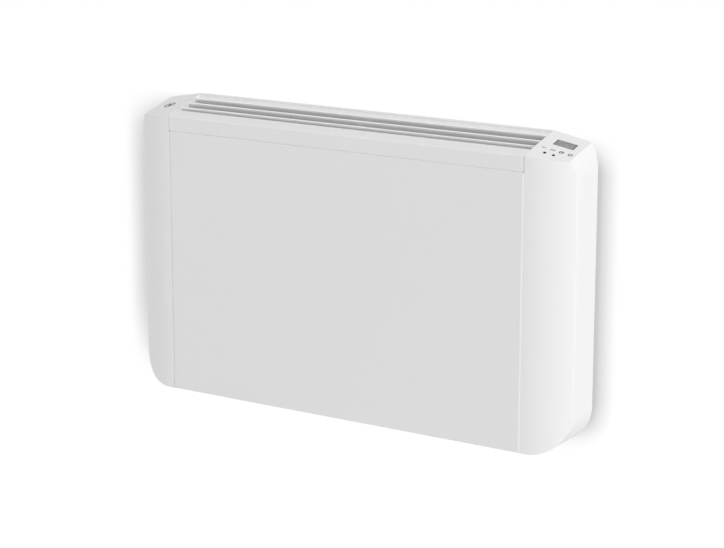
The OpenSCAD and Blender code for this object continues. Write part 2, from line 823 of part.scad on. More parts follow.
// Rubber grommets in the right side plate
module lead_grommets() {
    color("black") for (z = lead_z) difference() {
        union() {
            rod_x(x_plate, x_seam, lead_y, z, grommet_r);
            rod_x(x_seam, x_seam + grommet_lip, lead_y, z, grommet_r + grommet_lip);
            rod_x(x_plate - grommet_lip, x_plate, lead_y, z, grommet_r + grommet_lip);
        }
        rod_x(x_plate - 2, x_seam + 2, lead_y, z, lead_r + PIN_PLAY);
    }
}

// Screw terminal block on the side plate's outer face
module terminal_block() {
    ways = 3;
    color("ivory") difference() {
        block([x_seam, block_y, block_z], [x_seam + block_t, block_y + block_w, block_z + block_h]);
        for (i = [0 : ways - 1])
            rod_x(x_seam + block_t - 6, x_seam + block_t + 1,
                  block_y + block_w - 9, block_z + block_h * (i + 0.5) / ways, 2.6);
    }
}

module power_board() {
    color("darkgreen") difference() {
        block([x_board, board_y[0], board_z[0]], [x_board + board_t, board_y[1], board_z[1]]);
        for (y = stand_y, z = stand_z) rod_x(x_board - 1, x_board + board_t + 1, y, z, 1.6);
    }
}

// Four pillars between the side plate and the power board
module board_standoffs() {
    color("silver") for (y = stand_y, z = stand_z) difference() {
        rod_x(x_seam, x_board, y, z, 3);
        rod_x(x_board - 6, x_board + 1, y, z, 1.3);
    }
}

module board_screws() {
    color("gray") for (y = stand_y, z = stand_z) {
        rod_x(x_board + board_t, x_board + board_t + 2, y, z, 2.8);
        rod_x(x_board - 5, x_board + board_t, y, z, 1.25);
    }
}

// A box on the power board, from its lower front corner
module on_power_board(dy, dz, size) {
    block([x_board + board_t, board_y[0] + dy, board_z[0] + dz],
          [x_board + board_t + size[0], board_y[0] + dy + size[1], board_z[0] + dz + size[2]]);
}

module relay() {
    color("midnightblue") on_power_board(10, 16, [16, 16, 20]);
}

module filter_capacitor() {
    color("gold") on_power_board(10, 46, [15, 9, 18]);
}

module supply_module() {
    color("black") on_power_board(24, 66, [18, 20, 34]);
}

module display_board() {
    color("darkgreen") difference() {
        on_cap_top(0, 0) translate([0, 0, -board_depth - board_t]) linear_extrude(board_t)
            polygon([[board_u[0], -board_v[0]], [board_u[1], -board_v[0]],
                     [board_u[1], -board_v[1] + board_cut], [board_u[1] - board_cut, -board_v[1]],
                     [board_u[0], -board_v[1]]]);
        for (q = posts) on_cap_top(q[0], q[1])
            translate([0, 0, -board_depth - board_t - 1]) cylinder(h = board_t + 2, r = 1.3);
    }
}

module display_screws() {
    color("gray") for (q = posts) on_cap_top(q[0], q[1]) {
        translate([0, 0, -board_depth - board_t - 1.6]) cylinder(h = 1.6, r = 2.2);
        translate([0, 0, -board_depth - board_t]) cylinder(h = board_t + 3, r = post_bore_r - 0.05);
    }
}

// Display glass in its frame, on the board and under the opening
module lcd_module() {
    top = cap_wall + lcd_play;
    color("darkslategray") on_cap_top(lcd_u, lcd_v)
        translate([-lcd_w / 2 - lcd_frame, -lcd_h / 2 - lcd_frame, -board_depth])
        cube([lcd_w + 2 * lcd_frame, lcd_h + 2 * lcd_frame, board_depth - top]);
}

// Clear pane in the pocket
module lcd_window() {
    color("slategray") on_cap_top(lcd_u, lcd_v)
        translate([-lcd_w / 2 + window_play, -lcd_h / 2 + window_play, -pocket_t])
        cube([lcd_w - 2 * window_play, lcd_h - 2 * window_play, window_t]);
}

// One push switch on the display board
module tact_switch() {
    body_h = board_depth - plunger_top - plunger_h;
    translate([-switch_w / 2, -switch_w / 2, -board_depth]) cube([switch_w, switch_w, body_h]);
    translate([0, 0, -board_depth + body_h]) cylinder(h = plunger_h, r = plunger_r);
}

module tact_switches() {
    color("dimgray") {
        for (i = [0 : 3]) on_cap_top(key_u + i * key_pitch, key_v) tact_switch();
        for (i = [0, 1]) on_cap_top(dot_u + i * key_pitch, dot_v) tact_switch();
    }
}

// Flat key with a hidden flange that keeps it in the cap
module flat_key(i) {
    color("white") on_cap_top(key_u + i * key_pitch, key_v) {
        translate([0, 0, -key_seat - flange_t]) cylinder(h = flange_t, r = key_r + flange_extra);
        translate([0, 0, -key_seat]) cylinder(h = key_seat + 0.2, r = key_r);
    }
}

// Small round key with a domed top
module dot_key(i) {
    dome = 1.8;
    color("black") on_cap_top(dot_u + i * key_pitch, dot_v) {
        translate([0, 0, -key_seat - flange_t]) cylinder(h = flange_t, r = dot_r + flange_extra);
        intersection() {
            translate([0, 0, -key_seat]) cylinder(h = key_seat + 2, r = dot_r);
            translate([0, 0, 1 - dot_r * dome]) sphere(r = dot_r * dome);
        }
    }
}

module mode_key() {
    flat_key(0);
}

module program_key() {
    flat_key(1);
}

module timer_key() {
    flat_key(2);
}

module power_key() {
    flat_key(3);
}

module minus_key() {
    dot_key(0);
}

module plus_key() {
    dot_key(1);
}

// Round lead from the display board down to the power board
module display_lead() {
    x = x_board + board_t / 2;
    y = (board_y[0] + board_y[1]) / 2;
    depth = board_depth + board_t;
    color("black") wire([cap_point(ribbon_u, ribbon_v, depth),
                         cap_point(ribbon_u, ribbon_v, depth + wire_room),
                         [x, y, board_z[1] + ribbon_rise], [x, y, board_z[1]]], ribbon_r);
}

// Thermistor in a clip low on the side plate, out of the warm air
module room_sensor() {
    color("black") {
        block([x_seam, sensor_y - sensor_w / 2, sensor_z - sensor_h],
              [x_seam + sensor_l, sensor_y + sensor_w / 2, sensor_z]);
        translate([x_seam + sensor_l - 5, sensor_y, sensor_z - sensor_h]) sphere(r = sensor_bead);
    }
}

module sensor_lead() {
    color("gray") wire([[x_board + board_t / 2, sensor_y, sensor_z],
                        [x_board + board_t / 2, sensor_y, board_z[0]]], 0.7);
}

// Gland for the supply cord in the right cap's back wall
module cable_gland() {
    z = z_bot + gland_h;
    x = x_seam + gland_u;
    y_end = y_back - cap_wall - gland_nut - gland_tail;
    color("black") difference() {
        union() {
            rod_y(y_back, y_back + gland_lip, x, z, gland_r + gland_flange);
            rod_y(y_end, y_back, x, z, gland_r);
            rod_y(y_back - cap_wall - gland_nut, y_back - cap_wall, x, z, gland_r + gland_flange);
        }
        rod_y(y_end - 1, y_back + gland_lip + 1, x, z, gland_bore_r);
    }
}

// Screws that hold the caps on the side plates
module cap_screws() {
    color("gray") for (s = [0, 1], y = screw_y, z = screw_z) mirror([s, 0, 0]) {
        rod_x(x_plate - SCREW_HEAD_T, x_plate, y, z, SCREW_HEAD_R);
        rod_x(x_plate, x_seam + SCREW_REACH, y, z, SCREW_R);
    }
}

// Rubber stops that keep the lower edge off the wall
module rear_buffers() {
    color("black") for (s = [-1, 1])
        rod_y(y_back, -wall_play, s * (x_seam - buffer_in), z_bot + buffer_up, buffer_r);
}

// Wall frame: two channels, two cross bars and four upturned hooks
module wall_bracket() {
    half = fix_span_z / 2 + channel_over;
    color("lightgray") difference() {
        union() {
            for (s = [-1, 1]) {
                x = s * fix_span_x / 2;
                block([x - channel_w / 2, -bracket_steel, -half], [x + channel_w / 2, 0, half]);
                for (e = [-1, 1]) {
                    edge = x + e * (channel_w - bracket_steel) / 2;
                    block([edge - bracket_steel / 2, -channel_d, -half],
                          [edge + bracket_steel / 2, 0, half]);
                }
                for (t = [-1, 1]) hook(s * hook_x, t * hook_z);
            }
            for (t = [-1, 1]) block([-fix_span_x / 2, -bracket_steel, (t * fix_span_z - crossbar_h) / 2],
                                    [fix_span_x / 2, 0, (t * fix_span_z + crossbar_h) / 2]);
        }
        for (s = [-1, 1], t = [-1, 1])
            rod_y(-bracket_steel - 1, 1, s * fix_span_x / 2, t * fix_span_z / 2, fix_hole_r);
    }
}

// One hook in a channel's outer flange: an arm through the slot and a tongue behind the sheet
module hook(x, z) {
    tip = y_panel_in - tongue_play - tongue_t;
    block([x - bracket_steel / 2, tip, z - hook_arm], [x + bracket_steel / 2, -channel_d, z]);
    block([x - bracket_steel / 2, tip, z - hook_arm],
          [x + bracket_steel / 2, y_panel_in - tongue_play, z + hook_up]);
}

front_panel();
top_rail();
mirror([1, 0, 0]) rail_end();  // rail_end_left
rail_end();  // rail_end_right
blade(0);  // rear_blade
blade(1);  // middle_blade
blade(2);  // front_blade
comb(-x_seam + PIN_PLAY);  // comb_left
comb(-comb_t / 2);  // comb_middle
comb(x_seam - PIN_PLAY - comb_t);  // comb_right
back_rail();
end_cap_left();
end_cap_right();
side_plate_left();
side_plate_right();
back_panel();
inlet_grille();
front_shield();
rear_shield();
heating_element();
element_rod();
element_terminals();
insulator_left();
insulator_right();
element_bracket_left();
element_bracket_right();
thermal_cutout();
element_leads();
lead_grommets();
terminal_block();
power_board();
board_standoffs();
board_screws();
relay();
filter_capacitor();
supply_module();
display_board();
display_screws();
lcd_module();
lcd_window();
tact_switches();
display_lead();
room_sensor();
sensor_lead();
cable_gland();
cap_screws();
rear_buffers();
mode_key();
program_key();
timer_key();
power_key();
minus_key();
plus_key();
wall_bracket();
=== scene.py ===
"""Looks of a wall-hung electric convector heater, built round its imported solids.

The front panel, the two end caps, the flat keys and the display's pane are modelled here, with rounded
edges and printed signs. The pieces in ROUNDED and the wall bracket are copies of their solids with rounded
edges, and every other piece keeps its own solid and gets a finish. All sizes are in metres, in the frame
of the solids: X to the right, the front faces -Y, the wall is the plane y = 0.
"""

import json
import logging
import math
from abc import ABC, abstractmethod
from dataclasses import dataclass, field, replace
from enum import Enum
from typing import Iterable, Sequence

import bmesh
import bpy
from mathutils import Matrix, Vector


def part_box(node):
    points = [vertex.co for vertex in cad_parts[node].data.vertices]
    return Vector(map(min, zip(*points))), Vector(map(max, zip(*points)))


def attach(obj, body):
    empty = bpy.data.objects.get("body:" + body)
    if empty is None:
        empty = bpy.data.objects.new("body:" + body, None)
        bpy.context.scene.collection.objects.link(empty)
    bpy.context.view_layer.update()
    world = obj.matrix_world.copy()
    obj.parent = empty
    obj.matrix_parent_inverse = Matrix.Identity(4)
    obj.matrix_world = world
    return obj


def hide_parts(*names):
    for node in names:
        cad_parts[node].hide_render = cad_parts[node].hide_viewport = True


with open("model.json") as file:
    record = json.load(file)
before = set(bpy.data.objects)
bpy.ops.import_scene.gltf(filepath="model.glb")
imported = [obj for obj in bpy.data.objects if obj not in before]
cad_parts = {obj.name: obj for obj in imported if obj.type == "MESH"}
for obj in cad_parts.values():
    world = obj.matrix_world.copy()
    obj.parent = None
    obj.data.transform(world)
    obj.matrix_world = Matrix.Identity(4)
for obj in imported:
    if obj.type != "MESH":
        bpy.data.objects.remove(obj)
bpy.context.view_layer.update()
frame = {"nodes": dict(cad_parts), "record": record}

LOG = logging.getLogger("convector")
MM = 0.001
# How far cutters and rough forms run past the faces that they meet
PAST = 10 * MM
# Points closer than this are one point
SAME = 1e-7
HEATER = "heater"
BRACKET = "bracket"
FLAT_KEYS = ("mode_key", "program_key", "timer_key", "power_key")
DOT_KEYS = ("minus_key", "plus_key")
ROUNDED = (
    ("top_rail", "panel_paint", 0.4 * MM),
    ("rail_end_left", "cap_plastic", 0.4 * MM),
    ("rail_end_right", "cap_plastic", 0.4 * MM),
    ("back_rail", "panel_paint", 0.3 * MM),
    ("inlet_grille", "grille_plastic", 0.2 * MM),
    ("cable_gland", "gland_plastic", 0.4 * MM),
    ("rear_buffers", "black_rubber", 0.6 * MM),
)


class Combine(Enum):
    """How one solid acts on another."""

    CUT = "DIFFERENCE"
    KEEP_COMMON = "INTERSECT"
    JOIN = "UNION"


class Side(Enum):
    """The two ends of the case; the value is the sign of X."""

    LEFT = -1
    RIGHT = 1


class Sign(Enum):
    """Pictograms printed on the flat keys, and on the left cap."""

    LINES = "lines"
    RINGS = "rings"
    CLOCK = "clock"
    POWER = "power"
    TARGET = "target"


# Shared shader effects


def make_group(name: str, inputs: dict[str, float], outputs: Sequence[str]) -> bpy.types.ShaderNodeTree:
    """Start a shader node group with named values in and out.

    Args:
        name: Name of the group.
        inputs: Name and default of each value that goes in.
        outputs: Name of each value that comes out.

    Returns:
        The empty group, with its input and output nodes.
    """
    tree = bpy.data.node_groups.new(name, "ShaderNodeTree")
    for label, value in inputs.items():
        socket = tree.interface.new_socket(label, in_out="INPUT", socket_type="NodeSocketFloat")
        socket.default_value = value
    for label in outputs:
        tree.interface.new_socket(label, in_out="OUTPUT", socket_type="NodeSocketFloat")
    tree.nodes.new("NodeGroupInput").name = "in"
    tree.nodes.new("NodeGroupOutput").name = "out"
    return tree


def ranged(tree: bpy.types.NodeTree, source: bpy.types.NodeSocket, low: float, high: float,
           start: float = 0.0, end: float = 1.0) -> bpy.types.NodeSocket:
    """Map a value from one range to another.

    Args:
        tree: Tree that gets the node.
        source: Value to map.
        low: Result at the start of the range.
        high: Result at the end of the range.
        start: Start of the range.
        end: End of the range.

    Returns:
        The mapped value.
    """
    node = tree.nodes.new("ShaderNodeMapRange")
    for label, value in (("From Min", start), ("From Max", end), ("To Min", low), ("To Max", high)):
        node.inputs[label].default_value = value
    tree.links.new(source, node.inputs["Value"])
    return node.outputs["Result"]


def worked(tree: bpy.types.NodeTree, operation: str, first: float | bpy.types.NodeSocket,
           second: float | bpy.types.NodeSocket) -> bpy.types.NodeSocket:
    """Work out a value from two others.

    Args:
        tree: Tree that gets the node.
        operation: Name of the node's operation.
        first: First value, as a number or a socket.
        second: Second value, as a number or a socket.

    Returns:
        The result.
    """
    node = tree.nodes.new("ShaderNodeMath")
    node.operation = operation
    for slot, value in enumerate((first, second)):
        if isinstance(value, float):
            node.inputs[slot].default_value = value
        else:
            tree.links.new(value, node.inputs[slot])
    return node.outputs[0]


def object_place(tree: bpy.types.NodeTree) -> bpy.types.NodeSocket:
    """Give the coordinates of the piece's own object."""
    return tree.nodes.new("ShaderNodeTexCoord").outputs["Object"]


def noise(tree: bpy.types.NodeTree, vector: bpy.types.NodeSocket, scale: float | bpy.types.NodeSocket,
          detail: float = 2.0) -> bpy.types.NodeSocket:
    """Add a noise texture.

    Args:
        tree: Tree that gets the node.
        vector: Coordinates.
        scale: Waves in a metre, as a number or a socket.
        detail: Number of finer layers.

    Returns:
        The noise value.
    """
    node = tree.nodes.new("ShaderNodeTexNoise")
    node.inputs["Detail"].default_value = detail
    tree.links.new(vector, node.inputs["Vector"])
    if isinstance(scale, float):
        node.inputs["Scale"].default_value = scale
    else:
        tree.links.new(scale, node.inputs["Scale"])
    return node.outputs["Fac"]


def grain_effect() -> bpy.types.ShaderNodeTree:
    """Build the fine relief of powder coat and moulded plastic, with a slow drift of tone.

    Returns:
        The group: Scale and Drift go in, Height and Tone come out.
    """
    tree = make_group("surface_grain", {"Scale": 700.0, "Drift": 0.02}, ("Height", "Tone"))
    place = object_place(tree)
    source, target = tree.nodes["in"], tree.nodes["out"]
    fine = noise(tree, place, source.outputs["Scale"], 3.0)
    tree.links.new(fine, target.inputs["Height"])
    slow_waves = 4.0
    slow = noise(tree, place, slow_waves, 1.0)
    depth = worked(tree, "MULTIPLY", slow, source.outputs["Drift"])
    tree.links.new(worked(tree, "SUBTRACT", 1.0, depth), target.inputs["Tone"])
    return tree


def drawn_effect() -> bpy.types.ShaderNodeTree:
    """Build long fine lines along X, as on drawn, rolled or extruded metal.

    Returns:
        The group: Scale and Stretch go in, Height and Tone come out.
    """
    tree = make_group("drawn_lines", {"Scale": 900.0, "Stretch": 0.03}, ("Height", "Tone"))
    place = object_place(tree)
    source, target = tree.nodes["in"], tree.nodes["out"]
    split = tree.nodes.new("ShaderNodeSeparateXYZ")
    tree.links.new(place, split.inputs[0])
    stretched = tree.nodes.new("ShaderNodeCombineXYZ")
    along = worked(tree, "MULTIPLY", split.outputs["X"], source.outputs["Stretch"])
    tree.links.new(along, stretched.inputs["X"])
    tree.links.new(split.outputs["Y"], stretched.inputs["Y"])
    tree.links.new(split.outputs["Z"], stretched.inputs["Z"])
    lines = noise(tree, stretched.outputs[0], source.outputs["Scale"], 2.0)
    tree.links.new(lines, target.inputs["Height"])
    tree.links.new(ranged(tree, lines, 0.9, 1.05), target.inputs["Tone"])
    return tree


def spangle_effect() -> bpy.types.ShaderNodeTree:
    """Build the crystal flowers of galvanised sheet.

    Returns:
        The group: Scale goes in, Tone and Height come out.
    """
    tree = make_group("zinc_spangle", {"Scale": 90.0}, ("Height", "Tone"))
    place = object_place(tree)
    source, target = tree.nodes["in"], tree.nodes["out"]
    cells = tree.nodes.new("ShaderNodeTexVoronoi")
    cells.inputs["Randomness"].default_value = 1.0
    tree.links.new(place, cells.inputs["Vector"])
    tree.links.new(source.outputs["Scale"], cells.inputs["Scale"])
    split = tree.nodes.new("ShaderNodeSeparateColor")
    tree.links.new(cells.outputs["Color"], split.inputs[0])
    tree.links.new(split.outputs[0], target.inputs["Height"])
    tree.links.new(ranged(tree, split.outputs[1], 0.82, 1.0), target.inputs["Tone"])
    return tree


def tracks_effect() -> bpy.types.ShaderNodeTree:
    """Build the raised tracks that show through a circuit board's solder mask.

    Returns:
        The group: Scale goes in, Mask and Height come out.
    """
    tree = make_group("board_tracks", {"Scale": 160.0}, ("Height", "Mask"))
    place = object_place(tree)
    source, target = tree.nodes["in"], tree.nodes["out"]
    cells = tree.nodes.new("ShaderNodeTexVoronoi")
    cells.distance = "MANHATTAN"
    cells.feature = "F1"
    tree.links.new(place, cells.inputs["Vector"])
    tree.links.new(source.outputs["Scale"], cells.inputs["Scale"])
    spacing, gap_side, track_side = 0.16, 0.07, 0.1
    wave = worked(tree, "PINGPONG", cells.outputs["Distance"], spacing)
    edge = ranged(tree, wave, 0.0, 1.0, gap_side, track_side)
    tree.links.new(edge, target.inputs["Mask"])
    tree.links.new(edge, target.inputs["Height"])
    return tree


class Effects:
    """The shader effects that several finishes share, each built once."""

    def __init__(self) -> None:
        """Build all the groups."""
        self.grain = grain_effect()
        self.drawn = drawn_effect()
        self.spangle = spangle_effect()
        self.tracks = tracks_effect()


# Finishes


@dataclass(frozen=True)
class Finish(ABC):
    """What every finish has.

    Attributes:
        name: Name of the material.
        colour: Base colour, linear.
        roughness: Roughness of the bare finish.
        relief: Height of the surface's relief, in metres.
        scale: Waves of the relief in a metre.
    """

    name: str
    colour: tuple[float, float, float]
    roughness: float = 0.45
    relief: float = 0.00002
    scale: float = 700.0

    def build(self, effects: Effects) -> bpy.types.Material:
        """Make the material, with its shader set to the constant values and then painted.

        Args:
            effects: The shared effects.

        Returns:
            The material.
        """
        material = bpy.data.materials.new(self.name)
        material.use_nodes = True
        shader = material.node_tree.nodes["Principled BSDF"]
        shader.inputs["Base Color"].default_value = (*self.colour, 1.0)
        shader.inputs["Roughness"].default_value = self.roughness
        material.diffuse_color = (*self.colour, 1.0)
        self.paint(material.node_tree, shader, effects)
        return material

    @abstractmethod
    def paint(self, tree: bpy.types.ShaderNodeTree, shader: bpy.types.Node, effects: Effects) -> None:
        """Give the shader what makes this finish.

        Args:
            tree: The material's tree.
            shader: Its Principled shader.
            effects: The shared effects.
        """

    def effect(self, tree: bpy.types.ShaderNodeTree, group: bpy.types.ShaderNodeTree,
               **values: float) -> bpy.types.Node:
        """Place a shared effect in a material.

        Args:
            tree: The material's tree.
            group: The effect.
            **values: Value of each input, by its name in lower case.

        Returns:
            The group's node.
        """
        node = tree.nodes.new("ShaderNodeGroup")
        node.node_tree = group
        for label, value in values.items():
            node.inputs[label.capitalize()].default_value = value
        return node

    def tint(self, tree: bpy.types.ShaderNodeTree, shader: bpy.types.Node,
             tone: bpy.types.NodeSocket, dark: tuple[float, float, float] = (0.0, 0.0, 0.0)) -> None:
        """Let a tone between 0 and 1 move the base colour between a dark one and its own.

        Args:
            tree: The material's tree.
            shader: Its Principled shader.
            tone: How much of the finish's own colour shows.
            dark: Colour at a tone of 0.
        """
        mix = tree.nodes.new("ShaderNodeMix")
        mix.data_type = "RGBA"
        mix.inputs[6].default_value = (*dark, 1.0)
        mix.inputs[7].default_value = (*self.colour, 1.0)
        tree.links.new(tone, mix.inputs[0])
        tree.links.new(mix.outputs[2], shader.inputs["Base Color"])

    def vary(self, tree: bpy.types.ShaderNodeTree, shader: bpy.types.Node, height: bpy.types.NodeSocket,
             less: float, more: float) -> None:
        """Let a height move the roughness round the finish's own.

        Args:
            tree: The material's tree.
            shader: Its Principled shader.
            height: Height between 0 and 1.
            less: How much smoother the lowest points are.
            more: How much rougher the highest points are.
        """
        rough = ranged(tree, height, self.roughness - less, self.roughness + more)
        tree.links.new(rough, shader.inputs["Roughness"])

    def bump(self, tree: bpy.types.ShaderNodeTree, shader: bpy.types.Node, height: bpy.types.NodeSocket,
             strength: float = 1.0) -> None:
        """Let a height raise the surface by the finish's relief.

        Args:
            tree: The material's tree.
            shader: Its Principled shader.
            height: Height between 0 and 1.
            strength: How much of the relief shows.
        """
        node = tree.nodes.new("ShaderNodeBump")
        node.inputs["Strength"].default_value = strength
        node.inputs["Distance"].default_value = self.relief
        tree.links.new(height, node.inputs["Height"])
        tree.links.new(node.outputs["Normal"], shader.inputs["Normal"])


@dataclass(frozen=True)
class GrainedFinish(Finish):
    """Powder coat, moulded plastic, rubber or ceramic: a grained, non-metallic surface.

    Attributes:
        drift: Depth of the slow change of tone.
        coat: Weight of a clear coat.
        coat_roughness: Roughness of that coat.
        specular: Strength of the plain reflection.
        spread: How far the roughness varies to either side.
    """

    drift: float = 0.02
    coat: float = 0.0
    coat_roughness: float = 0.15
    specular: float = 0.5
    spread: float = 0.04

    def paint(self, tree: bpy.types.ShaderNodeTree, shader: bpy.types.Node, effects: Effects) -> None:
        """Give the shader what makes this finish.

        Args:
            tree: The material's tree.
            shader: Its Principled shader.
            effects: The shared effects.
        """
        shader.inputs["Specular IOR Level"].default_value = self.specular
        shader.inputs["Coat Weight"].default_value = self.coat
        shader.inputs["Coat Roughness"].default_value = self.coat_roughness
        grain = self.effect(tree, effects.grain, scale=self.scale, drift=self.drift)
        self.lay_colour(tree, shader, grain.outputs["Tone"])
        self.vary(tree, shader, grain.outputs["Height"], self.spread, self.spread)
        self.bump(tree, shader, grain.outputs["Height"])

    def lay_colour(self, tree: bpy.types.ShaderNodeTree, shader: bpy.types.Node,
                   tone: bpy.types.NodeSocket) -> None:
        """Let the grain's tone move the colour.

        Args:
            tree: The material's tree.
            shader: Its Principled shader.
            tone: Tone of the grain.
        """
        self.tint(tree, shader, tone)


@dataclass(frozen=True)
class ShadedBladeFinish(GrainedFinish):
    """White paint, lightened on the blades' upper edges as a painted highlight and darkened below them as
    painted shade in the outlet's slots.

    Attributes:
        shade_colour: Colour of the painted shade on the blades' faces below their edges, linear.
        slope: Fall of the outlet towards the front, in radians.
        shade_fade: How far below the case's top the paler edge, a painted highlight, reaches, and how far
            down the full painted shade begins.
    """

    # painted shade: colour of the blades' faces below their edges, darker than the paint
    shade_colour: tuple[float, float, float] = (0.66, 0.66, 0.66)
    slope: float = math.radians(14.0)
    shade_fade: tuple[float, float] = (3.4 * MM, 5.2 * MM)

    def lay_colour(self, tree: bpy.types.ShaderNodeTree, shader: bpy.types.Node,
                   tone: bpy.types.NodeSocket) -> None:
        """Darken the colour by depth below the case's sloping top, as painted shade in the slots.

        Args:
            tree: The material's tree.
            shader: Its Principled shader.
            tone: Tone of the grain, which the painted shade takes the place of.
        """
        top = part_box("end_cap_right")[1]
        upwards = Vector((0.0, -math.sin(self.slope), math.cos(self.slope)))
        height = tree.nodes.new("ShaderNodeVectorMath")
        height.operation = "DOT_PRODUCT"
        height.inputs[1].default_value = upwards
        tree.links.new(object_place(tree), height.inputs[0])
        level = upwards.dot(Vector((0.0, top.y, top.z)))
        near, far = self.shade_fade
        # painted shade below the blades' edges, with the paler paint on the edges as a painted highlight
        edge = ranged(tree, height.outputs["Value"], 0.0, 1.0, level - far, level - near)
        self.tint(tree, shader, edge, self.shade_colour)


@dataclass(frozen=True)
class ZincFinish(Finish):
    """Galvanised sheet with its crystal flowers.

    Attributes:
        spread: How far the roughness varies, downwards and upwards.
        fine: Waves of the fine relief in a metre.
    """

    spread: tuple[float, float] = (0.08, 0.1)
    fine: float = 1200.0

    def paint(self, tree: bpy.types.ShaderNodeTree, shader: bpy.types.Node, effects: Effects) -> None:
        """Give the shader what makes this finish.

        Args:
            tree: The material's tree.
            shader: Its Principled shader.
            effects: The shared effects.
        """
        shader.inputs["Metallic"].default_value = 1.0
        flowers = self.effect(tree, effects.spangle, scale=self.scale)
        self.tint(tree, shader, flowers.outputs["Tone"])
        self.vary(tree, shader, flowers.outputs["Height"], *self.spread)
        grain = self.effect(tree, effects.grain, scale=self.fine, drift=0.0)
        self.bump(tree, shader, grain.outputs["Height"])


@dataclass(frozen=True)
class DrawnFinish(Finish):
    """Bare metal with fine lines along X.

    Attributes:
        tinted: Whether heat has coloured the metal.
        heat_colour: Colour of the heated patches, linear.
        heat_waves: Waves of the patches in a metre.
        spread: How far the roughness varies to either side.
    """

    tinted: bool = False
    heat_colour: tuple[float, float, float] = (0.20, 0.11, 0.05)
    heat_waves: float = 22.0
    spread: float = 0.08

    def paint(self, tree: bpy.types.ShaderNodeTree, shader: bpy.types.Node, effects: Effects) -> None:
        """Give the shader what makes this finish.

        Args:
            tree: The material's tree.
            shader: Its Principled shader.
            effects: The shared effects.
        """
        shader.inputs["Metallic"].default_value = 1.0
        lines = self.effect(tree, effects.drawn, scale=self.scale)
        tone = lines.outputs["Tone"]
        dark = (0.0, 0.0, 0.0)
        if self.tinted:
            patches = noise(tree, object_place(tree), self.heat_waves, 2.0)
            tone = ranged(tree, patches, 0.25, 1.0, 0.35, 0.65)
            dark = self.heat_colour
        self.tint(tree, shader, tone, dark)
        self.vary(tree, shader, lines.outputs["Height"], self.spread, self.spread)
        self.bump(tree, shader, lines.outputs["Height"])


@dataclass(frozen=True)
class BoardFinish(Finish):
    """Solder mask over copper tracks.

    Attributes:
        gloss: Weight of the clear coat.
        gloss_roughness: Roughness of that coat.
        track_gain: How much paler the tracks are than the board.
    """

    gloss: float = 0.5
    gloss_roughness: float = 0.12
    track_gain: float = 2.1

    def paint(self, tree: bpy.types.ShaderNodeTree, shader: bpy.types.Node, effects: Effects) -> None:
        """Give the shader what makes this finish.

        Args:
            tree: The material's tree.
            shader: Its Principled shader.
            effects: The shared effects.
        """
        shader.inputs["Coat Weight"].default_value = self.gloss
        shader.inputs["Coat Roughness"].default_value = self.gloss_roughness
        tracks = self.effect(tree, effects.tracks, scale=self.scale)
        light = tuple(min(1.0, c * self.track_gain) for c in self.colour)
        self.tint(tree, shader, ranged(tree, tracks.outputs["Mask"], 1.0, 0.0), light)
        self.bump(tree, shader, tracks.outputs["Height"])


@dataclass(frozen=True)
class PaneFinish(Finish):
    """Clear plastic pane.

    Attributes:
        ior: Index of refraction.
    """

    ior: float = 1.49

    def paint(self, tree: bpy.types.ShaderNodeTree, shader: bpy.types.Node, effects: Effects) -> None:
        """Give the shader what makes this finish.

        Args:
            tree: The material's tree.
            shader: Its Principled shader.
            effects: The shared effects.
        """
        shader.inputs["Transmission Weight"].default_value = 1.0
        shader.inputs["IOR"].default_value = self.ior
        grain = self.effect(tree, effects.grain, scale=self.scale, drift=0.0)
        self.vary(tree, shader, grain.outputs["Height"], self.roughness, self.roughness)


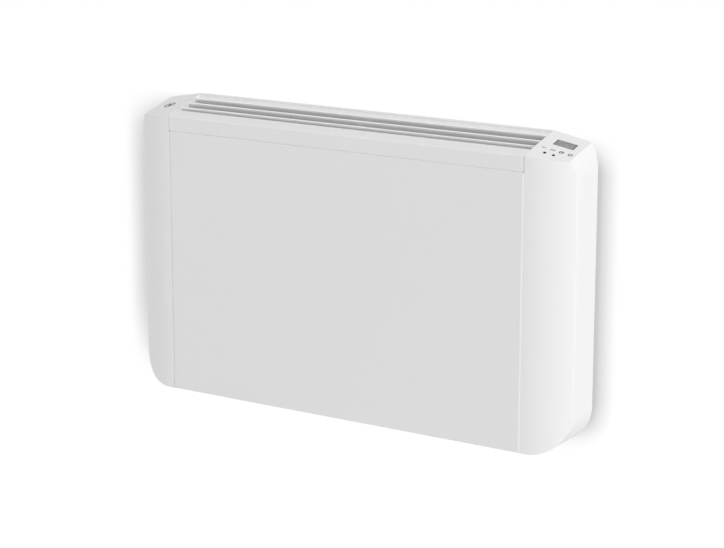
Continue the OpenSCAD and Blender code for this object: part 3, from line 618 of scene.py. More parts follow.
FINISHES: dict[str, Finish] = {
    "panel_paint": GrainedFinish("panel_paint", (0.80, 0.80, 0.80), 0.42, 0.00001, 900.0, drift=0.012),
    # painted highlight: a paler copy of the panel paint for the strip in the right seam
    "seam_painted_highlight": GrainedFinish("seam_painted_highlight", (0.97, 0.97, 0.97), 0.3, 0.00001, 900.0, drift=0.01, coat=0.8),
    # painted light: a paler copy of the case's white paint, a highlight on the blade edges and shade below
    # them
    "blade_paint": ShadedBladeFinish("blade_paint", (0.97, 0.97, 0.97), 0.26, 0.00001, 900.0, coat=1.0),
    "cap_plastic": GrainedFinish("cap_plastic", (0.82, 0.82, 0.82), 0.48, 0.000012, 1500.0, drift=0.01),
    "grille_plastic": GrainedFinish("grille_plastic", (0.75, 0.76, 0.76), 0.5, 0.00001, 1500.0),
    "galvanised": ZincFinish("galvanised", (0.62, 0.64, 0.65), 0.42, 0.000008, 110.0),
    "bracket_paint": GrainedFinish("bracket_paint", (0.70, 0.71, 0.71), 0.45, 0.00002, 800.0, drift=0.03),
    "fin_aluminium": DrawnFinish("fin_aluminium", (0.72, 0.73, 0.74), 0.38, 0.00002, 1100.0),
    "rod_steel": DrawnFinish("rod_steel", (0.35, 0.34, 0.33), 0.45, 0.00001, 900.0, tinted=True),
    "terminal_brass": DrawnFinish("terminal_brass", (0.78, 0.60, 0.30), 0.3, 0.00001, 900.0),
    "bush_ceramic": GrainedFinish("bush_ceramic", (0.85, 0.82, 0.74), 0.6, 0.00003, 1300.0, drift=0.05),
    "cutout_body": GrainedFinish("cutout_body", (0.06, 0.06, 0.06), 0.45, 0.00001, 1500.0),
    "wire_sleeve": GrainedFinish("wire_sleeve", (0.45, 0.12, 0.08), 0.55, 0.00002, 2200.0, drift=0.1),
    "black_rubber": GrainedFinish("black_rubber", (0.03, 0.03, 0.03), 0.75, 0.00003, 1400.0, drift=0.2),
    "block_nylon": GrainedFinish("block_nylon", (0.80, 0.78, 0.70), 0.5, 0.00001, 1500.0, drift=0.03),
    "board_laminate": BoardFinish("board_laminate", (0.03, 0.16, 0.06), 0.35, 0.00005, 170.0),
    "zinc": DrawnFinish("zinc", (0.60, 0.60, 0.58), 0.35, 0.00001, 1600.0),
    "relay_case": GrainedFinish("relay_case", (0.03, 0.06, 0.25), 0.3, 0.000006, 1500.0, coat=0.2),
    "capacitor_case": GrainedFinish("capacitor_case", (0.70, 0.50, 0.08), 0.3, 0.00001, 900.0, coat=0.2),
    "module_case": GrainedFinish("module_case", (0.04, 0.04, 0.04), 0.5, 0.00001, 1800.0),
    "lcd_face": GrainedFinish("lcd_face", (0.22, 0.228, 0.224), 0.3, 0.000002, 3000.0, drift=0.03),
    "lcd_pane": PaneFinish("lcd_pane", (0.97, 0.98, 0.98), 0.03, 0.0, 900.0),
    "lead_jacket": GrainedFinish("lead_jacket", (0.05, 0.05, 0.05), 0.5, 0.00002, 1500.0),
    "gland_plastic": GrainedFinish("gland_plastic", (0.05, 0.05, 0.05), 0.5, 0.00001, 1500.0),
    "key_white": GrainedFinish("key_white", (0.82, 0.82, 0.82), 0.42, 0.000006, 1500.0, drift=0.01),
    "key_black": GrainedFinish("key_black", (0.012, 0.012, 0.012), 0.45, 0.000004, 1500.0, specular=0.2),
    "grey_ink": GrainedFinish("grey_ink", (0.11, 0.11, 0.11), 0.5, 0.000004, 2500.0, specular=0.2),
    "dark_ink": GrainedFinish("dark_ink", (0.02, 0.02, 0.02), 0.45, 0.000004, 2500.0, specular=0.2),
    "pane_print": GrainedFinish("pane_print", (0.07, 0.072, 0.072), 0.4, 0.000003, 2500.0),
    "segment_print": GrainedFinish("segment_print", (0.17, 0.176, 0.172), 0.4, 0.000003, 2500.0),
}


class Wardrobe:
    """Builds each finish once and puts it on the pieces."""

    def __init__(self) -> None:
        """Build the shared effects and every finish."""
        effects = Effects()
        self.materials = {slot: finish.build(effects) for slot, finish in FINISHES.items()}

    def dress(self, piece: bpy.types.Object, slot: str) -> None:
        """Put a finish on a piece.

        Args:
            piece: The piece.
            slot: The finish's name.
        """
        piece.data.materials.clear()
        piece.data.materials.append(self.materials[slot])

    def dress_nodes(self) -> None:
        """Put its slot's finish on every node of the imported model."""
        slots = {part["node"]: part["material_slot"] for part in frame["record"]["subparts"]}
        for name, node in frame["nodes"].items():
            self.dress(node, slots[name])


# Modelling


class Outline:
    """A flat outline, drawn on from its last point by lines and by spun arcs."""

    def __init__(self, start: Sequence[float]) -> None:
        """Set the first point.

        Args:
            start: The first point.
        """
        self.bm = bmesh.new()
        self.first = self.bm.verts.new(start)
        self.last = self.first

    def line(self, target: Sequence[float]) -> "Outline":
        """Draw a straight line to a point.

        Args:
            target: Where the line ends.

        Returns:
            The outline itself.
        """
        made = bmesh.ops.extrude_vert_indiv(self.bm, verts=[self.last])["verts"][0]
        made.co = Vector(target)
        self.last = made
        return self

    def arc(self, centre: Sequence[float], axis: Sequence[float], angle: float, steps: int) -> "Outline":
        """Draw an arc round a centre.

        Args:
            centre: Centre of the arc.
            axis: Axis that it turns about.
            angle: Angle of the arc, in radians.
            steps: Number of edges.

        Returns:
            The outline itself.
        """
        made = bmesh.ops.spin(self.bm, geom=[self.last], cent=centre, axis=axis, angle=angle, steps=steps)
        self.last = [g for g in made["geom_last"] if isinstance(g, bmesh.types.BMVert)][0]
        return self

    def prism(self, reach: Sequence[float]) -> bmesh.types.BMesh:
        """Close the outline and draw it out into a solid.

        Args:
            reach: Direction and length.

        Returns:
            The solid.
        """
        bmesh.ops.contextual_create(self.bm, geom=[self.last, self.first])
        bmesh.ops.remove_doubles(self.bm, verts=self.bm.verts[:], dist=SAME)
        bmesh.ops.contextual_create(self.bm, geom=self.bm.edges[:])
        made = bmesh.ops.extrude_face_region(self.bm, geom=self.bm.faces[:])["geom"]
        moved = [g for g in made if isinstance(g, bmesh.types.BMVert)]
        bmesh.ops.translate(self.bm, verts=moved, vec=reach)
        bmesh.ops.recalc_face_normals(self.bm, faces=self.bm.faces[:])
        return self.bm


def box_mesh(low: Sequence[float], high: Sequence[float]) -> bmesh.types.BMesh:
    """Make a box from its lowest to its highest corner.

    Args:
        low: Lowest corner.
        high: Highest corner.

    Returns:
        The box.
    """
    bm = bmesh.new()
    size = Vector(high) - Vector(low)
    place = Matrix.Translation((Vector(high) + Vector(low)) / 2) @ Matrix.Diagonal((*size, 1.0))
    bmesh.ops.create_cube(bm, size=1.0, matrix=place)
    return bm


def rod_mesh(radius: float, length: float, place: Matrix, sides: int = 48,
             top_radius: float | None = None) -> bmesh.types.BMesh:
    """Make a cylinder or cone along its own Z, centred on its place.

    Args:
        radius: Radius at the bottom.
        length: Length.
        place: Where it stands.
        sides: Number of sides.
        top_radius: Radius at the top, the same as at the bottom if left out.

    Returns:
        The solid.
    """
    bm = bmesh.new()
    bmesh.ops.create_cone(bm, cap_ends=True, segments=sides, radius1=radius,
                          radius2=radius if top_radius is None else top_radius, depth=length, matrix=place)
    return bm


def as_object(bm: bmesh.types.BMesh, name: str) -> bpy.types.Object:
    """Turn a mesh under work into an object of the scene.

    Args:
        bm: The mesh, which is freed.
        name: Name of the object.

    Returns:
        The object.
    """
    mesh = bpy.data.meshes.new(name)
    bm.to_mesh(mesh)
    bm.free()
    piece = bpy.data.objects.new(name, mesh)
    bpy.context.scene.collection.objects.link(piece)
    return piece


def finished(piece: bpy.types.Object) -> bmesh.types.BMesh:
    """Read an object's mesh with its modifiers, and delete the object.

    Args:
        piece: The object.

    Returns:
        The mesh.
    """
    bpy.context.view_layer.update()
    made = piece.evaluated_get(bpy.context.evaluated_depsgraph_get())
    bm = bmesh.new()
    bm.from_mesh(made.to_mesh())
    made.to_mesh_clear()
    mesh = piece.data
    bpy.data.objects.remove(piece)
    bpy.data.meshes.remove(mesh)
    return bm


def combined(base: bmesh.types.BMesh, tools: Iterable[bmesh.types.BMesh], how: Combine) -> bmesh.types.BMesh:
    """Cut, join or intersect a solid with others, one after the other.

    Args:
        base: The solid that is worked on.
        tools: The solids that work on it.
        how: What they do.

    Returns:
        The result.
    """
    for tool in tools:
        work, other = as_object(base, "work"), as_object(tool, "tool")
        step = work.modifiers.new("combine", "BOOLEAN")
        step.operation, step.solver, step.object = how.value, "EXACT", other
        base = finished(work)
        mesh = other.data
        bpy.data.objects.remove(other)
        bpy.data.meshes.remove(mesh)
    return base


def joined(solids: Iterable[bmesh.types.BMesh]) -> bmesh.types.BMesh:
    """Put several solids into one mesh, each left whole.

    Args:
        solids: The solids, which are freed.

    Returns:
        The mesh.
    """
    result = bmesh.new()
    for solid in solids:
        mesh = bpy.data.meshes.new("part")
        solid.to_mesh(mesh)
        solid.free()
        result.from_mesh(mesh)
        bpy.data.meshes.remove(mesh)
    return result


def tidied(bm: bmesh.types.BMesh, distance: float = 0.01 * MM) -> bmesh.types.BMesh:
    """Merge doubles, join flat neighbours and turn the faces outwards.

    Args:
        bm: The mesh.
        distance: Points closer than this are merged.

    Returns:
        The same mesh.
    """
    bmesh.ops.remove_doubles(bm, verts=bm.verts[:], dist=distance)
    bmesh.ops.dissolve_limit(bm, angle_limit=math.radians(0.05), verts=bm.verts[:], edges=bm.edges[:])
    bmesh.ops.recalc_face_normals(bm, faces=bm.faces[:])
    return bm


def soften(bm: bmesh.types.BMesh, edges: Sequence[bmesh.types.BMEdge], radius: float,
           segments: int = 3) -> None:
    """Round edges off.

    Args:
        bm: The mesh.
        edges: The edges.
        radius: Width of the rounding.
        segments: Number of faces across it.
    """
    bmesh.ops.bevel(bm, geom=list(edges), offset=radius, offset_type="OFFSET", segments=segments,
                    profile=0.5, affect="EDGES", clamp_overlap=True, material=-1)


def sharp_edges(bm: bmesh.types.BMesh, least: float = 25.0) -> list[bmesh.types.BMEdge]:
    """List the edges whose faces meet at more than an angle.

    Args:
        bm: The mesh.
        least: The angle, in degrees.

    Returns:
        The edges.
    """
    limit = math.radians(least)
    return [e for e in bm.edges if len(e.link_faces) == 2 and e.calc_face_angle(0.0) > limit]


def smooth_piece(piece: bpy.types.Object, crease: float = 40.0) -> None:
    """Shade a piece smooth, with its large flat faces kept flat.

    Args:
        piece: The piece.
        crease: Edges sharper than this stay sharp, in degrees.
    """
    piece.data.shade_smooth()
    piece.data.set_sharp_from_angle(angle=math.radians(crease))
    weigh = piece.modifiers.new("flat_faces", "WEIGHTED_NORMAL")
    weigh.keep_sharp = True
    weigh.weight = 80


def install(piece: bpy.types.Object, body: str, slot: str, wardrobe: Wardrobe,
            stands_for: Sequence[str] = (), finish: str | None = None) -> bpy.types.Object:
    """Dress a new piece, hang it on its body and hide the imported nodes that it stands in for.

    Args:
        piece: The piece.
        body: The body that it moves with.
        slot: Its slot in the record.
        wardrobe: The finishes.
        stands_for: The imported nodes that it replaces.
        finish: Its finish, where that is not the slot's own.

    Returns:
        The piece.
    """
    wardrobe.dress(piece, finish or slot)
    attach(piece, body)
    if stands_for:
        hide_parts(*stands_for)
    LOG.info("%s: %d faces on %s", piece.name, len(piece.data.polygons), body)
    return piece


def rounded_copy(node: str, slot: str, radius: float, wardrobe: Wardrobe, body: str = HEATER) -> None:
    """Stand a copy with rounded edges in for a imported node.

    Args:
        node: The node's name.
        slot: Its slot in the record.
        radius: Width of the rounding.
        wardrobe: The finishes.
        body: The body that it moves with.
    """
    bm = bmesh.new()
    bm.from_mesh(frame["nodes"][node].data)
    piece = as_object(tidied(bm), f"{node}_rounded")
    round_off = piece.modifiers.new("edges", "BEVEL")
    round_off.limit_method, round_off.angle_limit = "ANGLE", math.radians(40)
    round_off.width, round_off.segments, round_off.profile = radius, 2, 0.5
    round_off.use_clamp_overlap = True
    smooth_piece(piece)
    install(piece, body, slot, wardrobe, [node])


# Sub-assemblies


@dataclass(frozen=True)
class CaseFrame:
    """Planes of the case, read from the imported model, and the frame of the right cap's top.

    Attributes:
        front_slope: Fall of the top towards the front.
        side_slope: Fall of the cap tops towards the sides.
        seam_x: Place of the right seam.
        side_x: Place of the right side.
        y_front: Place of the foremost point.
        y_back: Place of the back.
        z_low: Place of the bottom.
        z_top: Place of the highest point.
    """

    front_slope: float = math.radians(14.0)
    side_slope: float = math.radians(10.7)
    seam_x: float = field(default_factory=lambda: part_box("end_cap_right")[0].x)
    side_x: float = field(default_factory=lambda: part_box("end_cap_right")[1].x)
    y_front: float = field(default_factory=lambda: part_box("end_cap_right")[0].y)
    y_back: float = field(default_factory=lambda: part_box("end_cap_right")[1].y)
    z_low: float = field(default_factory=lambda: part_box("end_cap_right")[0].z)
    z_top: float = field(default_factory=lambda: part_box("end_cap_right")[1].z)

    def cap_top(self, u: float = 0.0, v: float = 0.0, side: Side = Side.RIGHT) -> Matrix:
        """Give the frame of a cap's top face.

        Args:
            u: Distance outwards from the seam.
            v: Distance forwards from the back edge, along the slope.
            side: Which cap.

        Returns:
            The frame: X runs to the right, Y to the back, Z out of the face.
        """
        sign = side.value
        return (Matrix.Translation((sign * self.seam_x, self.y_back, self.z_top))
                @ Matrix.Rotation(self.front_slope, 4, "X")
                @ Matrix.Rotation(sign * self.side_slope, 4, "Y")
                @ Matrix.Translation((sign * u, -v, 0.0)))


@dataclass
class EndCap:
    """Moulded end cap with a bulged front, a falling top and large round corners.

    Attributes:
        case: Planes of the case.
        wardrobe: The finishes.
        wall: Thickness of the shell.
        corner_r: Radius of the outer top corners in the front view.
        low_corner_r: Radius of the outer bottom corners in the front view.
        flat_top: Width of the flat top.
        bulge_r: Radius of the bulged front in the plan.
        turn_r: Radius where the front turns into the side.
        rim: Width of the rim before and behind the open inner side.
        rim_low: How far the open inner side stays above the low screws.
        rim_high: How far it stays below the high screws.
        screw_up: Height of the low screws above the bottom.
        screw_down: Depth of the high screws below the top.
        head_r: Radius of the heads of the cap screws.
        hole_r: Radius of their holes.
        key_gap: Clearance round a key.
        key_hole: Length of the cutter of a key's hole.
        chamfer: Chamfer of a key's hole.
        pane_gap: Clearance round the display's pane.
        ledge: Width of the ledge that the pane lies on.
        splay: Depth of the slanting edge round the pane.
        splay_out: How far that edge slants outwards over twice its depth.
        gland_r: Radius of the cable gland's hole.
        gland_hole: Length of that hole's cutter.
        top_r: Rounding of the top face's front and outer edges.
        edge_r: Rounding of the other outer edges.
        seam_r: Rounding of the edges at the seam.
    """

    case: CaseFrame
    wardrobe: Wardrobe
    wall: float = 2.6 * MM
    corner_r: float = 66 * MM
    low_corner_r: float = 58 * MM
    flat_top: float = 59.5 * MM
    bulge_r: float = 102 * MM
    turn_r: float = 8 * MM
    rim: float = 14 * MM
    rim_low: float = 10 * MM
    rim_high: float = 6 * MM
    screw_up: float = 12 * MM
    screw_down: float = 55.94 * MM
    head_r: float = 3.6 * MM
    hole_r: float = 2.3 * MM
    key_gap: float = 0.15 * MM
    key_hole: float = 8 * MM
    chamfer: float = 0.35 * MM
    pane_gap: float = 0.1 * MM
    ledge: float = 1.9 * MM
    splay: float = 0.5 * MM
    splay_out: float = 1.0 * MM
    gland_r: float = 7.6 * MM
    gland_hole: float = 12 * MM
    top_r: float = 3 * MM
    edge_r: float = 1.3 * MM
    seam_r: float = 0.7 * MM

    def plan(self, inset: float) -> bmesh.types.BMesh:
        """Draw the plan out upwards.

        Args:
            inset: How far it is drawn in.

        Returns:
            The solid.
        """
        case = self.case
        width = case.side_x - case.seam_x
        swing = math.asin((width - self.turn_r) / (self.bulge_r - self.turn_r))
        centre = Vector((case.seam_x, case.y_front + self.bulge_r, 0.0))
        low = case.z_low - PAST
        turn_y = centre.y - (self.bulge_r - self.turn_r) * math.cos(swing)
        reach = self.bulge_r - inset
        start = math.asin(inset / reach)
        outline = Outline((case.seam_x + inset, centre.y - reach * math.cos(start), low))
        outline.arc((centre.x, centre.y, low), (0, 0, 1), swing - start, steps=18)
        outline.arc((case.side_x - self.turn_r, turn_y, low), (0, 0, 1), math.pi / 2 - swing, steps=12)
        outline.line((case.side_x - inset, case.y_back - inset, low))
        outline.line((case.seam_x + inset, case.y_back - inset, low))
        return outline.prism((0, 0, case.z_top - case.z_low + 2 * PAST))

    def front_view(self, inset: float) -> bmesh.types.BMesh:
        """Draw the front view with its round bottom corner out backwards.

        Args:
            inset: How far it is drawn in.

        Returns:
            The solid.
        """
        case = self.case
        y = case.y_front - PAST
        high = case.z_top + 2 * PAST
        corner = (case.side_x - self.low_corner_r, y, case.z_low + self.low_corner_r)
        outline = Outline((case.seam_x - PAST, y, high))
        outline.line((case.seam_x - PAST, y, case.z_low + inset))
        outline.line((corner[0], y, case.z_low + inset))
        outline.arc(corner, (0, -1, 0), math.pi / 2, steps=28)
        outline.line((case.side_x - inset, y, high))
        return outline.prism((0, case.y_back - case.y_front + 2 * PAST, 0))

    def slope_view(self, inset: float) -> bmesh.types.BMesh:
        """Draw the view along the slope, with the falling top and its crease, out along the slope.

        Args:
            inset: How far it is drawn in.

        Returns:
            The solid.
        """
        case = self.case
        fall = math.tan(case.side_slope)
        drop = inset / math.cos(case.side_slope)
        corner_u = case.side_x - case.seam_x - self.corner_r
        corner_w = -self.flat_top * fall - math.sqrt(self.corner_r ** 2 - (self.flat_top - corner_u) ** 2)
        radius = self.corner_r - inset
        start = self.crease_angle(corner_u, corner_w, drop, radius)
        back = 3 * PAST
        bottom = -0.6
        outline = Outline((-PAST, back, bottom))
        outline.line((corner_u + radius, back, bottom))
        outline.line((corner_u + radius, back, corner_w))
        outline.arc((corner_u, back, corner_w), (0, -1, 0), start, steps=20)
        outline.line((-PAST, back, PAST * fall - drop))
        forwards = -0.25
        bm = outline.prism((0, forwards, 0))
        frame_of_slope = (Matrix.Translation((case.seam_x, case.y_back, case.z_top))
                          @ Matrix.Rotation(case.front_slope, 4, "X"))
        bmesh.ops.transform(bm, matrix=frame_of_slope, verts=bm.verts[:])
        return bm

    def crease_angle(self, corner_u: float, corner_w: float, drop: float, radius: float) -> float:
        """Find where the round corner meets the falling top.

        Args:
            corner_u: Centre of the corner, outwards.
            corner_w: Centre of the corner, upwards.
            drop: How far the top is drawn in.
            radius: Radius of the corner.

        Returns:
            The angle from the side to that point.
        """
        slope = self.case.side_slope
        reach = (-drop - corner_w) * math.cos(slope) - corner_u * math.sin(slope)
        return math.pi / 2 - slope - math.acos(min(1.0, reach / radius))

    def form(self, inset: float) -> bmesh.types.BMesh:
        """Make the cap's solid form.

        Args:
            inset: How far it is drawn in.

        Returns:
            The solid.
        """
        views = (self.front_view(inset), self.slope_view(inset))
        return tidied(combined(self.plan(inset), views, Combine.KEEP_COMMON))

    def rounding(self, edge: bmesh.types.BMEdge) -> float:
        """Choose the rounding of an outer edge by where it lies.

        Args:
            edge: The edge.

        Returns:
            Width of the rounding.
        """
        to_top = self.case.cap_top().inverted()
        near = 0.02 * MM
        if all(abs(v.co.x - self.case.seam_x) < near for v in edge.verts):
            return self.seam_r
        if all(abs(v.co.y - self.case.y_back) < near for v in edge.verts):
            return self.edge_r
        if all(abs((to_top @ v.co).z) < near for v in edge.verts):
            return self.top_r
        return self.edge_r

    def screw_holes(self, heights: Sequence[float]) -> list[bmesh.types.BMesh]:
        """Make the cutters of the screw holes in the inner side.

        Args:
            heights: Heights of the screws.

        Returns:
            The cutters.
        """
        case = self.case
        low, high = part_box("cap_screws")
        across = Matrix.Rotation(math.pi / 2, 4, "Y")
        places = [Matrix.Translation((case.seam_x, y, z)) @ across
                  for y in (low.y + self.head_r, high.y - self.head_r) for z in heights]
        return [rod_mesh(self.hole_r, 4 * self.wall, place, sides=24) for place in places]

    def shell(self) -> bmesh.types.BMesh:
        """Make the rounded shell, open towards the chassis and closed beside the outlet.

        Returns:
            The shell.
        """
        case = self.case
        outer = self.form(0.0)
        weight = outer.edges.layers.float.new("bevel_weight_edge")
        least_angle = 12.0
        for edge in sharp_edges(outer, least_angle):
            edge[weight] = self.rounding(edge) / self.top_r
        work = as_object(outer, "cap_work")
        round_off = work.modifiers.new("edges", "BEVEL")
        round_off.limit_method, round_off.width, round_off.segments = "WEIGHT", self.top_r, 5
        round_off.profile, round_off.use_clamp_overlap = 0.5, True
        outer = finished(work)
        screw_low, screw_high = case.z_low + self.screw_up, case.z_top - self.screw_down
        window = box_mesh((case.seam_x - MM, case.y_front + self.rim, screw_low + self.rim_low),
                          (case.seam_x + self.wall + MM, case.y_back - self.rim, screw_high - self.rim_high))
        holes = self.screw_holes((screw_low, screw_high))
        return combined(outer, (self.form(self.wall), window, *holes), Combine.CUT)

    def build(self, side: Side) -> bpy.types.Object:
        """Make one cap.

        Args:
            side: Which cap.

        Returns:
            The piece.
        """
        bm = self.shell()
        if side is Side.RIGHT:
            bm = self.with_controls(bm)
        else:
            bmesh.ops.scale(bm, vec=(-1, 1, 1), verts=bm.verts[:])
            bmesh.ops.reverse_faces(bm, faces=bm.faces[:])
        name = side.name.lower()
        piece = as_object(tidied(bm), f"{name}_cap_shell")
        crease = 32.0
        smooth_piece(piece, crease)
        return install(piece, HEATER, "cap_plastic", self.wardrobe, [f"end_cap_{name}"])

    def with_controls(self, bm: bmesh.types.BMesh) -> bmesh.types.BMesh:
        """Cut the display pocket and the key holes, with small chamfers.

        Args:
            bm: The right cap's shell.

        Returns:
            The shell with its openings.
        """
        case = self.case
        cutters = []
        for key in (*FLAT_KEYS, *DOT_KEYS):
            centre, radius = key_place(case, key)
            hole_r = radius + self.key_gap
            place = case.cap_top() @ Matrix.Translation((centre.x, centre.y, 0.0))
            through = place @ Matrix.Translation((0, 0, -MM))
            cutters.append(rod_mesh(hole_r, self.key_hole, through, sides=40))
            cutters.append(rod_mesh(hole_r, 2 * self.chamfer, place, 40, hole_r + 2 * self.chamfer))
        cutters += self.pane_cutters()
        low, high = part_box("cable_gland")
        hole = (Matrix.Translation(((low.x + high.x) / 2, case.y_back, (low.z + high.z) / 2))
                @ Matrix.Rotation(math.pi / 2, 4, "X"))
        cutters.append(rod_mesh(self.gland_r, self.gland_hole, hole))
        return combined(bm, cutters, Combine.CUT)

    def pane_cutters(self) -> list[bmesh.types.BMesh]:
        """Make the cutters of the pane's pocket, its opening and the slanting edge round it.

        Returns:
            The cutters.
        """
        case = self.case
        low, high = flat_box("lcd_window", case.cap_top().inverted())
        gap, ledge = self.pane_gap, self.ledge
        above, deep = 5 * MM, 6 * MM
        pocket = box_mesh((low.x - gap, low.y - gap, low.z), (high.x + gap, high.y + gap, above))
        opening = box_mesh((low.x + ledge, low.y + ledge, -deep), (high.x - ledge, high.y - ledge, MM))
        splay = box_mesh((low.x - gap, low.y - gap, -self.splay), (high.x + gap, high.y + gap, self.splay))
        middle = (low + high) / 2
        for vert in (v for v in splay.verts if v.co.z > 0):
            vert.co.x += math.copysign(self.splay_out, vert.co.x - middle.x)
            vert.co.y += math.copysign(self.splay_out, vert.co.y - middle.y)
        cutters = [pocket, opening, splay]
        for cutter in cutters:
            bmesh.ops.transform(cutter, matrix=case.cap_top(), verts=cutter.verts[:])
        return cutters


def key_place(case: CaseFrame, key: str) -> tuple[Vector, float]:
    """Find a key's middle and radius on the cap's top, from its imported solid.

    Args:
        case: Planes of the case.
        key: The node's name.

    Returns:
        The middle in the frame of the top face, and the radius of the part that shows.
    """
    to_top = case.cap_top().inverted()
    points = [to_top @ v.co for v in frame["nodes"][key].data.vertices]
    below_face = 0.5 * MM
    shown = [p for p in points if p.z > -below_face]
    low = Vector((min(p.x for p in shown), min(p.y for p in shown), min(p.z for p in points)))
    high = Vector((max(p.x for p in shown), max(p.y for p in shown), max(p.z for p in points)))
    middle = (low + high) / 2
    return Vector((middle.x, middle.y, high.z)), (high.x - low.x) / 2


def flat_box(node: str, to_local: Matrix) -> tuple[Vector, Vector]:
    """Give a node's box in a turned frame.

    Args:
        node: The node's name.
        to_local: Turns the shared frame into the turned one.

    Returns:
        The lowest and the highest corner.
    """
    points = [to_local @ v.co for v in frame["nodes"][node].data.vertices]
    low = Vector(tuple(min(p[i] for p in points) for i in range(3)))
    high = Vector(tuple(max(p[i] for p in points) for i in range(3)))
    return low, high


@dataclass
class FrontPanel:
    """Folded steel tray between the caps, with the lips that close its seams.

    Attributes:
        wardrobe: The finishes.
        sheet: Thickness of the steel.
        upright_r: Radius of the upright front edges.
        level_r: Radius of the top and bottom front edges.
        seam: Width of the seams.
        lip_in: How far a lip lies behind the face.
        strip_in: How far the strip in the right seam, which carries a painted highlight, lies behind the
            face.
        lip_t: Thickness of a lip.
        lip_w: Width of a lip behind the sheet.
        corner_gap: Length that the lips and the strip leave open at the corners.
    """

    wardrobe: Wardrobe
    sheet: float = 1.2 * MM
    upright_r: float = 2.4 * MM
    level_r: float = 1.4 * MM
    seam: float = 0.65 * MM
    lip_in: float = 1.0 * MM
    strip_in: float = 0.3 * MM
    lip_t: float = 0.6 * MM
    lip_w: float = 3 * MM
    corner_gap: float = 1.5 * MM

    def lips(self) -> list[bmesh.types.BMesh]:
        """Make the flat lips behind the top seam and the left seam.

        Returns:
            The lips.
        """
        low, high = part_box("front_panel")
        front, back = low.y + self.lip_in, low.y + self.lip_in + self.lip_t
        return [box_mesh((low.x + self.corner_gap, front, high.z - self.lip_w),
                         (high.x - self.corner_gap, back, high.z + self.seam)),
                box_mesh((low.x - self.seam, front, low.z),
                         (low.x + self.lip_w, back, high.z - self.corner_gap))]

    def strip(self) -> None:
        """Lay the strip that closes the right seam, in a paler copy of the panel paint: a painted highlight
        along the seam.
        """
        low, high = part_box("front_panel")
        front = low.y + self.strip_in
        bm = box_mesh((high.x - self.upright_r / 2, front, low.z + self.corner_gap),
                      (high.x + self.seam, front + self.lip_in + self.lip_t, high.z - self.corner_gap))
        # painted highlight: the strip wears a paler copy of the panel paint
        install(as_object(bm, "seam_strip"), HEATER, "panel_paint", self.wardrobe, finish="seam_painted_highlight")

    def build(self) -> bpy.types.Object:
        """Make the tray: a box without its back, rounded and given its thickness inwards.

        Returns:
            The piece.
        """
        low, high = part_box("front_panel")
        bm = box_mesh(low, high)
        back = [f for f in bm.faces if f.normal.y > 0.9]
        bmesh.ops.delete(bm, geom=back, context="FACES_ONLY")
        weight = bm.edges.layers.float.new("bevel_weight_edge")
        for edge in bm.edges:
            along = (edge.verts[0].co - edge.verts[1].co).normalized()
            at_front = all(abs(v.co.y - low.y) < 0.01 * MM for v in edge.verts)
            if abs(along.y) > 0.9:
                edge[weight] = 0.5
            elif at_front:
                edge[weight] = 1.0 if abs(along.z) > 0.9 else self.level_r / self.upright_r
        piece = as_object(bm, "panel_tray")
        round_off = piece.modifiers.new("folds", "BEVEL")
        round_off.limit_method, round_off.width, round_off.segments = "WEIGHT", self.upright_r, 6
        round_off.profile = 0.5
        thicken = piece.modifiers.new("sheet", "SOLIDIFY")
        thicken.thickness, thicken.offset = self.sheet, -1.0
        piece = as_object(joined([finished(piece), *self.lips()]), "panel_tray")
        smooth_piece(piece)
        self.strip()
        return install(piece, HEATER, "panel_paint", self.wardrobe, ["front_panel"])


